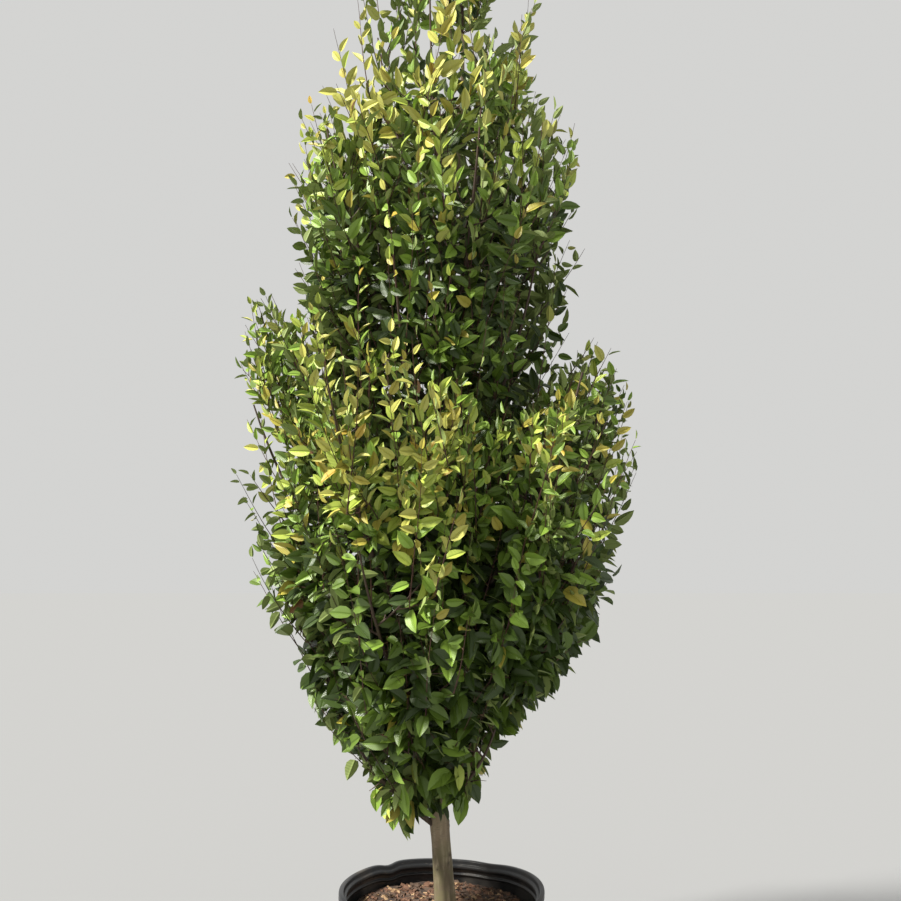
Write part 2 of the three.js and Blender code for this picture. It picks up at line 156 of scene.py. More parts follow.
# Sprays that fill a mass: where they begin and end in the crown's reach, the lumps that this makes,
# how many of them there are from the axis out, and the heights beyond which there are all
FILL_FROM = 0.22
FILL = (table((0.24, 0.98), (0.80, 0.96), (1.10, 0.96), (1.35, 0.95), (1.55, 0.92), (1.70, 0.85),
              (1.83, 0.72)),
        table((0.90, 0.92), (1.70, 0.88), (2.10, 0.82), (2.34, 0.71), (2.45, 0.60), (2.62, 0.46),
              (2.70, 0.60), (2.80, 0.70), (2.92, 0.66), (3.07, 0.80), (3.16, 1.0)))
LUMPS = 4.6
LUMP_DEPTH = table((0.3, 0.05), (0.8, 0.20), (1.2, 0.42), (1.83, 0.44), (2.2, 0.32), (3.2, 0.30))
OVER_FILL = 0.07
SPRAY_SHARE = ([0.32, 0.82], [0.26, 1.0])
LOW_SPRAYS = 0.62
TOP_SPRAYS = 2.61
SPRAY_SCALE = table((0.4, 0.95), (0.9, 0.98), (1.3, 0.82), (1.7, 0.90), (2.2, 0.93), (2.9, 0.9))
FILL_SPAN = 0.75
SPRAY_CLEARANCE = 0.55
# Which way they grow, how much they rather start from wood below them, and how they bend
GROWS_UP = 0.35
GROWS_OUT = 0.55
FROM_BELOW = 0.45
SPRAY_BEND = (0.25, 0.3)
TAIL_NODES = (1, 3)

# Whips, the long shoots that stand out of the outline: their reach, where they start, how far
# apart they are, how many leaves their ends lack, how they lean and how small their leaves are
WHIP_REACH = (0.92, 1.07)
WHIP_FROM = (0.50, 0.97)
WHIP_GAP = table((0.3, 0.05), (1.9, 0.06), (2.15, 0.10), (2.4, 0.16), (2.7, 0.12), (3.1, 0.10))
WHIP_BARE = table((0.3, 1.0), (1.5, 2.4), (2.0, 3.0), (3.1, 4.6))
WHIP_LEAN = table((0.3, 0.7), (1.3, 0.45), (2.0, 0.55), (2.4, 0.35), (3.1, 0.2))
WHIP_LEANS = (0.3, 1.4)
WHIPS_DIFFER = 8
WHIP_LIFT = 0.5
WHIP_LEAF = 0.88

# Sprouts on the trunk and on the feet of the lowest boughs
SPROUTS = 14
SPROUT_HEIGHTS = (0.35, 0.53)
SPROUT_TURN = -100
SPROUT_LIFT = -0.9
BOUGH_SPROUTS = (0.12, 0.36)

# Width of a shoot's end, as a share of its start, and the same of a whip's two ends
SHOOT_END = 0.45
WHIP_WIDTHS = (1.3, 0.4)
TWIG_END = 0.6

# How leaves turn, splay and hang, how large and wide they are and how bright their sprays are,
# which is partly their own colour and partly painted light and painted shade
LEAF_ROLL = 1.3
LEAF_FACES_UP = 0.55
LEAF_SPLAY = (24, 44)
END_LEAF_SPLAY = 0.25
LEAF_STRAY = 0.32
DROOP_STRAY = 0.45
DROOP = (table((0.30, 0.95), (0.75, 0.8), (1.00, 0.5), (1.25, 0.1), (1.50, -0.1), (1.83, -0.2)),
         table((0.90, 0.3), (1.90, 0.25), (2.15, -0.1), (3.20, -0.3)))
LEAF_SCALE = (table((0.3, 1.25), (0.8, 1.2), (1.1, 0.94), (1.35, 0.76), (1.83, 0.72)),
              table((0.9, 0.9), (1.5, 0.95), (1.8, 1.0), (2.3, 0.92), (3.1, 0.8)))
LEAF_WIDENING = table((0.3, 1.12), (1.0, 1.08), (1.4, 0.94), (1.9, 1.0), (2.4, 0.93), (3.1, 0.84))
SIZE_ALONG = (0.68, 0.34)
SPRAY_SIZES = (0.80, 0.42)
LEAF_SIZES = (0.82, 0.34)
LEAF_WIDTHS = (0.86, 0.24)
TIP_ROOM = 1.12
# Tone of a spray by height: partly the leaves' own colour, partly painted shade low down and at the
# crown's waist and painted light towards its top
TONE_AND_PAINTED_LIGHT = (table((0.3, 0.44), (0.8, 0.29), (1.05, 0.63), (1.3, 1.30), (1.83, 1.20)),
              table((0.9, 0.42), (1.8, 0.42), (2.05, 0.76), (2.3, 1.45), (2.6, 2.3), (3.2, 2.6)))
# Painted light on the left and middle of the crown and painted shade on its right, by a spray's
# place from left to right
PAINTED_LIGHT_BY_SIDE = table((-0.5, 0.92), (-0.36, 0.94), (-0.18, 1.38), (0.0, 1.36), (0.3, 0.78),
                   (0.5, 0.60))
# Painted shade towards the crown's axis: the tone falls with this power of a spray's outerness
PAINTED_SHADE_FALL = 1.7
SPRAY_TONE_STRAY = 0.16
LEAF_TONE_STRAY = 0.29

# Tints in the order of a leaf's materials, those of single leaves that turn, as (tone of the spray
# from, chance from, chance to), and the rest, as (tone from, chance up to)
# A spray's tone holds painted shade and painted light, so the tint it picks holds them too
TINTS = ("deep_green", "mid_green", "fresh_green", "yellow_green", "lime", "olive", "gold",
         "russet")
TURNING = (("gold", 0.78, 0.964, 0.985), ("russet", 0.4, 0.998, 1.0))
TINT_STEPS = (("lime", 1.12, 0.72), ("yellow_green", 0.86, 0.86), ("olive", 0.86, 1.0),
              ("fresh_green", 0.58, 0.84), ("olive", 0.58, 1.0), ("mid_green", 0.34, 1.0))


def chance(index, kind):
    """A fixed value between 0 and 1 for each pair of numbers, as in the part's source."""
    wave = math.sin(index * 12.9898 + kind * 78.233) * 43758.5453
    return wave - math.floor(wave)


def jitter(index, kind, amount):
    return (chance(index, kind) * 2 - 1) * amount


def vary(span, index, kind):
    """A fixed value from a span of (least, range)."""
    return span[0] + span[1] * chance(index, kind)


def lerp(start, end, share):
    return start + (end - start) * share


def bend(start, middle, end, share):
    """Points of a curve that is drawn towards its middle one."""
    return (1 - share) ** 2 * start + 2 * share * (1 - share) * middle + share ** 2 * end


def reading(rows, height, column=1):
    return np.interp(height, rows[:, 0], rows[:, column])


def unit(vectors):
    vectors = np.asarray(vectors, float)
    return vectors / np.maximum(np.linalg.norm(vectors, axis=-1, keepdims=True), 1e-9)


def outwards(points):
    """Level directions away from the crown's axis."""
    return unit(points * [1, 1, 0] + 1e-6)


def climb(points):
    """Heights of points above the soil."""
    return points[..., 2] - SOIL_TOP


def bearings(points):
    return np.arctan2(points[:, 1], points[:, 0])


def trunk_point(height):
    return np.array([TRUNK_X + reading(TRUNK_COURSE, height), 0.0, SOIL_TOP + height])


def crown_reach(profile, height, bearing):
    to_right = (1 + np.cos(bearing)) / 2
    return lerp(reading(profile, height, 1), reading(profile, height, 2), to_right)


def crown_point(radius, bearing, height):
    return np.array([radius * math.cos(bearing), radius * math.sin(bearing), SOIL_TOP + height])


class Limb:
    """The line of a bough and of the stem of its mass that runs on from it."""

    def __init__(self, profile, foot, elbow, tip, width, gate, heart, openings):
        self.profile, self.foot, self.elbow, self.tip = profile, foot, elbow, tip
        self.width, self.gate, self.openings = width, gate, openings
        self.heart = self.point(heart)

    def point(self, share):
        return bend(self.foot, self.elbow, self.tip, np.asarray(share, float)[..., None])

    def heading(self, share):
        share = np.asarray(share, float)[..., None]
        return unit((1 - share) * (self.elbow - self.foot) + share * (self.tip - self.elbow))

    def radius(self, share):
        return lerp(self.width, STEM_TIP_WIDTH, np.asarray(share, float) ** WIDTH_FALL) / 2

    def twig_heading(self, share, index):
        """Direction of a twig round the stem, opening less and less towards the stem's tip."""
        ahead = self.heading(share)
        side = np.cross(ahead, UP)
        side = np.array([1.0, 0.0, 0.0]) if np.linalg.norm(side) < 0.05 else unit(side)
        turn = GOLDEN_ANGLE * index
        along = max(share - self.gate, 0) / (1 - self.gate)
        opening = math.radians(lerp(*self.openings, along) + jitter(index, 4, OPENING_JITTER))
        round_stem = side * math.cos(turn) + np.cross(side, ahead) * math.sin(turn)
        return unit(ahead * math.cos(opening) + round_stem * math.sin(opening))


def bough_limb(ring, place, index):
    count, profile, foot, tip, out, turn, thick, gate = ring
    bearing = math.radians(turn + place * 360 / count + jitter(index, 1, TURN_JITTER))
    foot_height = foot + place * FOOT_STAGGER * 2 / count + jitter(index, 2, FOOT_STAGGER)
    tip_height = tip + jitter(index, 3, TIP_STAGGER)
    reach = out * crown_reach(profile, tip_height, bearing)
    elbow = crown_point(reach * ELBOW_OUT, bearing, lerp(foot_height, tip_height, ELBOW_CLIMB))
    return Limb(profile, trunk_point(foot_height), elbow, crown_point(reach, bearing, tip_height),
                thick, gate, HEART, TWIG_OPENINGS)


def crown_limbs():
    """The limbs of all the boughs, ring by ring, and the leader last."""
    limbs = []
    for ring in RINGS:
        for place in range(ring[0]):
            limbs.append(bough_limb(ring, place, len(limbs) + 1))
    top = COLUMN[-1, 0] - LEADER_TIP_DROP
    limbs.append(Limb(COLUMN, trunk_point(TRUNK_HEIGHT), trunk_point((TRUNK_HEIGHT + top) / 2),
                      trunk_point(top), LEADER_WIDTH, 0, LEADER_HEART, LEADER_OPENINGS))
    return limbs


LIMBS = crown_limbs()
WEIGHTS = np.array([1.0, 1.0, CELL_HEIGHT_WEIGHT])
HEARTS = np.array([limb.heart for limb in LIMBS]) * WEIGHTS
IN_COLUMN = np.array([limb.profile is COLUMN for limb in LIMBS])
BOX = np.array([list(corner) for corner in CAD_BOX])


def inside_profile(profile, points, reach):
    heights, ways = climb(points), bearings(points)
    low, high = profile[0, 0], profile[-1, 0]
    if profile is SKIRT:
        for middle, depth, narrowness in DIPS:
            near = 0.5 + 0.5 * np.cos(ways - math.radians(middle))
            high = high - depth * near ** narrowness
        low = np.where(points[:, 0] < LEFT_OF_TRUNK, *LOWEST_LEAVES)
        profile = HANGING_SKIRT
    inside = (heights >= low) & (heights <= lerp(low, high, np.minimum(reach, 1.0)))
    inside &= ((points > BOX[0] - BOX_MARGIN) & (points < BOX[1] + BOX_MARGIN)).all(axis=1)
    limit = reach * crown_reach(profile, heights, ways)
    return inside & (np.hypot(points[:, 0], points[:, 1]) <= limit)


def in_crown(points, reach):
    return inside_profile(SKIRT, points, reach) | inside_profile(COLUMN, points, reach)


def clear_of_trunk(points):
    heights = climb(points)
    axis = TRUNK_X + reading(TRUNK_COURSE, heights)
    apart = np.hypot(points[:, 0] - axis, points[:, 1])
    return (apart > reading(TRUNK_WIDTH, heights) / 2 + TRUNK_CLEARANCE) | (heights > TRUNK_HEIGHT)


def leaf_tint(tone, key):
    """Number of a leaf's tint: that of its spray, darker for painted shade and lighter for painted
    light, and here and there one that turns.
    """
    stray = chance(key, 32)
    for name, brighter, start, end in TURNING:
        if tone > brighter and end > stray > start:
            return TINTS.index(name)
    tone += jitter(key, 34, LEAF_TONE_STRAY)
    for name, brighter, most in TINT_STEPS:
        if tone > brighter and stray <= most:
            return TINTS.index(name)
    return TINTS.index("deep_green")


class Mass:
    """One mass of foliage as it grows: the paths of its stem, twigs and shoots, and its leaves."""

    def __init__(self, owner, crown):
        self.owner, self.crown, self.limb = owner, crown, LIMBS[owner]
        self.paths, self.ways, self.leaves = [], [], []

    def read(self, pair, height):
        """Reads the skirt's or the column's table, whichever this mass is part of."""
        return reading(pair[int(IN_COLUMN[self.owner])], height)

    def nodes(self):
        """Points of all the wood so far, and its directions there."""
        return np.vstack([path[0] for path in self.paths]), np.vstack(self.ways)

    def owns(self, points, reach=1.0):
        """True for each point inside the crown's reach that is nearest to this mass's heart,
        of all the masses that reach so far."""
        far = np.linalg.norm((points * WEIGHTS)[:, None] - HEARTS[None], axis=2)
        for profile, members in ((COLUMN, IN_COLUMN), (SKIRT, ~IN_COLUMN)):
            far[np.ix_(~inside_profile(profile, points, 1.0), members)] += FAR_OFF
        own = far[:, self.owner].copy()
        far[:, self.owner] = np.inf
        nearest = far.min(axis=1) > own - SHARED_EDGE
        return inside_profile(self.limb.profile, points, reach) & nearest

    def outerness(self, points):
        """How near each point is to the crown's furthest reach, from 0 at its axis to 1."""
        limit = crown_reach(self.limb.profile, climb(points), bearings(points))
        return np.hypot(points[:, 0], points[:, 1]) / limit

    def fill_reach(self, points):
        """How far the sprays that fill the mass go, as a share of the crown's reach: in lumps."""
        heights = climb(points)
        lumps = np.array([noise.noise(Vector(point) * LUMPS) for point in points])
        sunk = reading(LUMP_DEPTH, heights) * np.clip(0.5 + lumps, 0, 1)
        return self.read(FILL, heights) * (1 - sunk)

    def kept(self, points, reach, free=False):
        """How many points of a path stay in the mass's space, or anywhere in the crown if free."""
        if free:
            fits = in_crown(points, reach)
        else:
            fits = self.owns(points, reach)
            fits &= self.outerness(points) < self.fill_reach(points) + OVER_FILL
        fits &= clear_of_trunk(points)
        return len(fits) if fits.all() else int(np.argmin(fits))

    def course(self, start, heading, lift, nodes, index):
        """Points and directions of a path that starts on a heading and turns up as it grows."""
        shares = np.arange(nodes + 1) / max(nodes, 1)
        sway = np.stack([np.sin(shares * 5 + index), np.cos(shares * 4 + index * 1.7),
                         np.zeros(nodes + 1)], axis=1) * SWAY
        ways = unit(heading + UP * lift * shares[:, None] + sway * shares[:, None])
        steps = np.cumsum(ways[:-1], axis=0) * self.crown.node_spacing
        return start + np.vstack([np.zeros(3), steps]), ways

    def add_path(self, points, ways, radii, young):
        self.paths.append((points, radii, young))
        self.ways.append(ways)

    def add_shoot(self, points, ways, widths, index, first, reach, bare=0, free=False, young=True):
        """Wood along a path, as wide at its two ends as given, and the leaves on it."""
        self.add_path(points, ways, np.linspace(*widths, len(points)) / 2, young)
        self.add_leaves(points, ways, index, first, reach, bare, free)

    def add_leaves(self, points, ways, index, first, reach, bare, free):
        """Leaves at the nodes of a path, by turns on its left and right, up to its bare end."""
        count = len(points) - bare
        if count - first < 1:
            return
        nodes = np.arange(first, count)
        roots, ahead, keys = points[nodes], ways[nodes], index * 41 + nodes
        heights, outward = climb(roots), outwards(roots)
        roll = jitter(index, 21, LEAF_ROLL)
        facing = unit(outward * math.cos(roll) + UP * LEAF_FACES_UP
                      + np.cross(UP, outward) * math.sin(roll))
        side = unit(np.cross(ahead, facing))
        hands = np.where((index + nodes) % 2 == 0, 1.0, -1.0)[:, None]
        splay = np.radians([vary(LEAF_SPLAY, key, 22) for key in keys])[:, None]
        if not bare:
            splay[-1] *= END_LEAF_SPLAY
        droop = self.read(DROOP, heights) + [jitter(key, 23, DROOP_STRAY) for key in keys]
        strays = np.array([[jitter(key, kind, LEAF_STRAY) for kind in (28, 29, 30)]
                           for key in keys])
        along = unit(ahead * np.cos(splay) + side * hands * np.sin(splay) - UP * droop[:, None]
                     + strays)
        across = unit(np.cross(along, facing))
        tilt = np.array([jitter(key, 24, 1.0) for key in keys])[:, None]
        normal = np.cross(across, along)
        across, normal = (across * np.cos(tilt) + normal * np.sin(tilt),
                          normal * np.cos(tilt) - across * np.sin(tilt))
        place = (nodes - first + 1) / max(count - first, 1)
        size = self.crown.leaf_length * self.read(LEAF_SCALE, heights)
        size *= SIZE_ALONG[0] + SIZE_ALONG[1] * np.sin(np.pi * place)
        size *= vary(SPRAY_SIZES, index, 35)
        size *= [vary(LEAF_SIZES, key, 25) for key in keys]
        size *= WHIP_LEAF if free else 1
        tips = roots + along * (size * TIP_ROOM)[:, None]
        reach += LEAF_BEYOND
        fits = in_crown(tips, reach) if free else self.owns(tips, reach)
        fits &= clear_of_trunk(tips)
        # These tones carry painted shade and painted light into the leaves' tints
        tones = self.painted_light_tones(tips, index)
        for k in np.flatnonzero(fits):
            self.leaves.append((roots[k], across[k], along[k], normal[k], size[k], keys[k],
                                leaf_tint(tones[k], keys[k])))

    def painted_light_tones(self, points, index):
        """How bright a spray's tints are along its shoot, from 0 in the crown's shade to 1 in open
        light: partly the leaves' own colour, partly painted shade and painted light.
        """
        outer = np.minimum(self.outerness(points), 1.0)
        light = self.read(TONE_AND_PAINTED_LIGHT, climb(points)) * outer ** PAINTED_SHADE_FALL
        return light * reading(PAINTED_LIGHT_BY_SIDE, points[:, 0]) + jitter(index, 31, SPRAY_TONE_STRAY)

    def grow_shoot(self, start, heading, index):
        """A leafy shoot of this year that leaves a twig and turns up."""
        width = self.crown.shoot_width
        more = self.crown.shoot_nodes - SHORTEST_SHOOT + 1
        nodes = SHORTEST_SHOOT + int(chance(index, 11) * more)
        reach = lerp(*BULK_REACH, chance(index, 12)) * reading(TOP_SHARE, climb(start))
        lift = self.read(SHOOT_LIFT, climb(start))
        points, ways = self.course(start, heading, lift, nodes, index)
        kept = self.kept(points, reach)
        if kept > 1:
            self.add_shoot(points[:kept], ways[:kept], (width, width * SHOOT_END), index, 1, reach)

    def grow_whip(self, start, heading, index):
        """A long straight shoot that stands out of the crown's outline, often with a bare end."""
        nodes = self.crown.whip_nodes - int(chance(index, 17) * WHIPS_DIFFER)
        points, ways = self.course(start, heading, WHIP_LIFT, nodes, index)
        reach = lerp(*WHIP_REACH, chance(index, 27))
        kept = self.kept(points, reach, free=True)
        if kept > 4:
            widths = [self.crown.shoot_width * share for share in WHIP_WIDTHS]
            bare = int(chance(index, 18) * reading(WHIP_BARE, climb(points[kept - 1])))
            self.add_shoot(points[:kept], ways[:kept], widths, index, 1, reach, bare, free=True)

    def grow_twig(self, n):
        """One of the source's twigs of the mass, its side shoots and its own leafy end."""
        limb, crown = self.limb, self.crown
        index = self.owner * 31 + n
        share = lerp(limb.gate + TWIG_SHARES[0], TWIG_SHARES[1], n / (SOURCE_TWIGS - 1))
        last = n == SOURCE_TWIGS - 1
        heading = limb.heading(1.0) if last else limb.twig_heading(share, index)
        start = limb.point(share)
        reach = LAST_TWIG_REACH if last else lerp(*BULK_REACH, chance(index, 14))
        reach *= reading(TOP_SHARE, climb(start))
        count = int(crown.twig_nodes * vary(TWIG_LENGTHS, index, 15))
        lift = reading(TWIG_LIFT, climb(start))
        points, ways = self.course(start, heading, lift, count, index)
        kept = self.kept(points, reach)
        if kept < 3:
            return
        points, ways = points[:kept], ways[:kept]
        widths = (min(crown.twig_width, limb.radius(share) * 1.5), crown.shoot_width * TWIG_END)
        self.add_shoot(points, ways, widths, index, max(1, int(kept * 0.5)), reach, young=False)
        facing = outwards(points[0]) + UP * 0.9
        for node in range(1, kept - 1, 2):
            key = index * 13 + node
            side = unit(np.cross(ways[node], facing))
            hand = 1 if (index + node) % 4 < 2 else -1
            opening = math.radians(vary(SIDE_OPENINGS, key, 16))
            out = ways[node] * math.cos(opening) + side * hand * math.sin(opening)
            self.grow_shoot(points[node], unit(out), key + 7919)

    def growing_way(self, point):
        """Where shoots turn to at a point: up, and out from the crown's axis the more the lower."""
        lift = self.read(SHOOT_LIFT, climb(point))
        return unit(UP * (GROWS_UP + lift) + outwards(point) * GROWS_OUT)

    def spray_targets(self, spacing):
        """Points spread evenly through the mass's space, the nearest to its stem first."""
        span = np.arange(-FILL_SPAN, FILL_SPAN, spacing)
        lattice = np.stack(np.meshgrid(span, span, span, indexing="ij"), -1).reshape(-1, 3)
        draw = np.random.default_rng(self.owner + 1)
        points = self.limb.heart + lattice + draw.uniform(-0.5, 0.5, lattice.shape) * spacing
        points = points[self.owns(points)]
        outer, heights = self.outerness(points), climb(points)
        share = np.interp(outer, *SPRAY_SHARE)
        share[(heights < LOW_SPRAYS) | (heights > TOP_SPRAYS)] = 1.0
        keep = (outer < self.fill_reach(points)) & clear_of_trunk(points)
        keep &= (outer > FILL_FROM) & (draw.random(len(points)) < share)
        points = points[keep]
        stem = self.limb.point(np.linspace(self.limb.gate * 0.5, 1, 12))
        return points[np.linalg.norm(points[:, None] - stem[None], axis=2).min(axis=1).argsort()]

    def fill(self):
        """Leafy sprays that grow from the nearest wood to wherever the mass has none yet."""
        crown, reach = self.crown, BULK_REACH[1]
        places, ways = self.nodes()
        spacing = crown.spray_spacing * reading(SPRAY_SCALE, climb(self.limb.heart))
        for n, target in enumerate(self.spray_targets(spacing)):
            index = self.owner * 977 + n + 20011
            apart = target - places
            far = np.linalg.norm(apart, axis=1)
            if far.min() < spacing * SPRAY_CLEARANCE:
                continue
            upward = self.growing_way(target)
            start = int(np.argmin(far - FROM_BELOW * (apart @ upward)))
            distance = far[start]
            tail = upward * crown.node_spacing * vary(TAIL_NODES, index, 41)
            middle = (places[start] + ways[start] * distance * SPRAY_BEND[0]
                      + (target - places[start]) * SPRAY_BEND[1])
            length = distance + np.linalg.norm(tail)
            count = max(4, int(math.ceil(length / crown.node_spacing))) + 1
            points = bend(places[start], middle, target + tail, np.linspace(0, 1, count)[:, None])
            kept = self.kept(points[1:], reach) + 1
            if kept < 3:
                continue
            points = points[:kept]
            along = unit(np.gradient(points, axis=0))
            widths = (crown.shoot_width * (1 + 0.25 * kept / 7), crown.shoot_width * SHOOT_END)
            self.add_shoot(points, along, widths, index, max(1, kept - 8), reach)
            places, ways = np.vstack([places, points[1:]]), np.vstack([ways, along[1:]])

    def add_whips(self):
        """Long shoots, apart from each other, from the outer wood of the mass."""
        places, _ = self.nodes()
        outer = self.outerness(places)
        places = places[(outer > WHIP_FROM[0]) & (outer < WHIP_FROM[1])]
        used = np.zeros((1, 3))
        for n in range(self.crown.whips if len(places) else 0):
            index = self.owner * 59 + n + 401
            start = places[int(chance(index, 13) * len(places))]
            if np.linalg.norm(used - start, axis=1).min() < reading(WHIP_GAP, climb(start)):
                continue
            used = np.vstack([used, start])
            outward = outwards(start)
            sideways = np.cross(UP, outward) * jitter(index, 19, 0.3)
            lean = reading(WHIP_LEAN, climb(start)) * vary(WHIP_LEANS, index, 20)
            self.grow_whip(start, unit(UP + outward * lean + sideways), index)

    def add_sprouts(self):
        """Short leafy sprouts that hang from the trunk and from the feet of the lowest boughs."""
        width = self.crown.shoot_width
        for n in range(SPROUTS):
            index = self.owner * 67 + n + 90001
            height = lerp(*SPROUT_HEIGHTS, chance(index, 61))
            bearing = math.radians(SPROUT_TURN) + GOLDEN_ANGLE * (n + self.owner * SPROUTS)
            outward = np.array([math.cos(bearing), math.sin(bearing), 0.0])
            if n % 2:
                start = self.limb.point(lerp(*BOUGH_SPROUTS, chance(index, 63)))
            else:
                start = trunk_point(height) + outward * reading(TRUNK_WIDTH, height) * 0.46
            nodes = 3 + int(chance(index, 62) * 3)
            points, ways = self.course(start, unit(outward + UP * 0.5), SPROUT_LIFT, nodes, index)
            kept = 1 + self.kept(points[1:], 1.0, free=True)
            if kept > 2:
                self.add_shoot(points[:kept], ways[:kept], (width, width * SHOOT_END), index, 1,
                               1.0, free=True)

    def grow(self):
        limb = self.limb
        shares = np.linspace(limb.gate, 1, 9)
        self.add_path(limb.point(shares), limb.heading(shares), limb.radius(shares), False)
        for n in range(SOURCE_TWIGS):
            self.grow_twig(n)
        self.fill()
        self.add_whips()
        if self.owner < RINGS[0][0]:
            self.add_sprouts()
        return self


# ---- meshes ----

def fresh_object(name, mesh):
    """A piece at the origin, in place of an earlier one of the same name."""
    earlier = bpy.data.objects.get(name)
    if earlier:
        bpy.data.objects.remove(earlier)
    mesh.name = name
    piece = bpy.data.objects.new(name, mesh)
    bpy.context.scene.collection.objects.link(piece)
    return piece


def dress(piece, slot, *nodes):
    """Ties a finished piece to the body and hides the nodes that it stands for; its slot is not
    used.
    """
    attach(piece, "root")
    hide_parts(*nodes)


def set_all(items, name, values, kind=np.float32):
    """Gives each of a mesh's items its own value."""
    items.foreach_set(name, np.asarray(values, kind).ravel())


def triangle_mesh(name, corners, triangles):
    mesh = bpy.data.meshes.new(name)
    count = len(triangles)
    mesh.vertices.add(len(corners))
    mesh.loops.add(count * 3)
    mesh.polygons.add(count)
    set_all(mesh.vertices, "co", corners)
    set_all(mesh.loops, "vertex_index", triangles, np.int32)
    set_all(mesh.polygons, "loop_start", np.arange(0, count * 3, 3), np.int32)
    set_all(mesh.polygons, "use_smooth", np.ones(count), bool)
    mesh.update(calc_edges=True)
    return mesh


def turned_faces(rings, sides):
    """Triangles of a closed form: a first corner on the axis, rings of corners, and a last one."""
    side = np.arange(sides)
    after = (side + 1) % sides
    start = 1 + np.arange(rings - 1)[:, None] * sides
    a, b = (start + side).ravel(), (start + after).ravel()
    last = 1 + (rings - 1) * sides
    faces = ((a, b, b + sides), (a, b + sides, a + sides), (side * 0, 1 + after, 1 + side),
             (last + side, last + after, side * 0 + last + sides))
    return np.vstack([np.stack(corners, 1) for corners in faces])


def put(tree, kind, inputs=None, **settings):
    """Outputs of a new node with its settings, and its inputs linked or given a value."""
    node = tree.nodes.new(kind)
    for key, value in settings.items():
        setattr(node, key, value)
    for key, value in (inputs or {}).items():
        if isinstance(value, bpy.types.NodeSocket):
            tree.links.new(value, node.inputs[key])
        else:
            node.inputs[key].default_value = value
    return node.outputs


def geometry(tree, kind, inputs=None, **settings):
    """First output of a new node of that kind among the geometry nodes."""
    return put(tree, "GeometryNode" + kind, inputs, **settings)[0]


def calc(tree, operation, *values):
    return put(tree, "ShaderNodeMath", dict(enumerate(values)), operation=operation)[0]


def times(tree, *values):
    return calc(tree, "MULTIPLY", *values)


def blend(tree, factor, start, end):
    """Colour between two others, the first a setting or the result of other nodes."""
    if not isinstance(start, bpy.types.NodeSocket):
        start = (*start, 1)
    return put(tree, "ShaderNodeMix", {0: factor, 6: start, 7: (*end, 1)},
               data_type="RGBA")[2]


def between(tree, value, low, high):
    """0 below low, 1 above high, and a smooth step between them."""
    return put(tree, "ShaderNodeMapRange", {0: value, 1: low, 2: high},
               interpolation_type="SMOOTHSTEP")[0]


def new_finish(name, roughness, colour=None):
    """A node material, its tree and the inputs of its shader."""
    material = bpy.data.materials.get(name) or bpy.data.materials.new(name)
    material.use_nodes = True
    tree = material.node_tree
    surface = tree.nodes["Principled BSDF"].inputs
    surface["Roughness"].default_value = roughness
    if colour is not None:
        surface["Base Color"].default_value = (*colour, 1)
    return material, tree, surface


def object_noise(tree, scale, detail=4.0, stretch=(1, 1, 1)):
    """Noise on the object's own coordinates."""
    place = put(tree, "ShaderNodeTexCoord")["Object"]
    place = put(tree, "ShaderNodeMapping", {"Vector": place, "Scale": stretch})[0]
    return put(tree, "ShaderNodeTexNoise", {"Vector": place, "Scale": scale, "Detail": detail})[0]


def bump(tree, surface, height, strength, distance):
    normal = put(tree, "ShaderNodeBump",
                 {"Height": height, "Strength": strength, "Distance": distance})[0]
    tree.links.new(normal, surface["Normal"])


# ---- finishes ----

LEAF_MAP = "OFBake"
LEAF_GLINT = 0.44
VEIN_PAIRS = 13.0
VEIN_SLANT = 3.2
PLEAT = 0.17


def leaf_finish(name, colour, roughness, relief):
    """A leaf's surface, pleated along the side veins and creased along the midrib."""
    material, tree, surface = new_finish(name, roughness, colour)
    place = put(tree, "ShaderNodeUVMap", uv_map=LEAF_MAP)[0]
    across, along, _ = put(tree, "ShaderNodeSeparateXYZ", {0: place})
    off_rib = times(tree, calc(tree, "ABSOLUTE", calc(tree, "SUBTRACT", across, 0.5)), 2.0)
    phase = calc(tree, "SUBTRACT", times(tree, along, VEIN_PAIRS),
                 times(tree, off_rib, VEIN_SLANT))
    pleat = times(tree, calc(tree, "SINE", times(tree, phase, FULL_TURN)), PLEAT)
    crease = calc(tree, "MINIMUM", times(tree, off_rib, 5.0), 1.0)
    bump(tree, surface, calc(tree, "ADD", pleat, crease), 1.0, relief)
    surface["Specular IOR Level"].default_value = LEAF_GLINT
    return material


def grained_finish(name, colour, roughness, grain, strength, distance):
    """One colour with a fine relief, whose grain is its scale, detail and stretch."""
    material, tree, surface = new_finish(name, roughness, colour)
    bump(tree, surface, object_noise(tree, *grain), strength, distance)
    return material


def twig_finish(name, colour, roughness):
    return grained_finish(name, colour, roughness, (420.0, 3.0, (1, 1, 0.5)), 0.4, 0.0006)


def bough_finish(bark):
    material, tree, surface = new_finish("bough bark", 0.8)
    streaks = object_noise(tree, 60.0, 5.0, (1, 1, 0.4))
    colour = blend(tree, between(tree, streaks, 0.35, 0.7), bark.bough_dark, bark.bough_light)
    tree.links.new(colour, surface["Base Color"])
    bump(tree, surface, streaks, 0.5, 0.002)
    return material


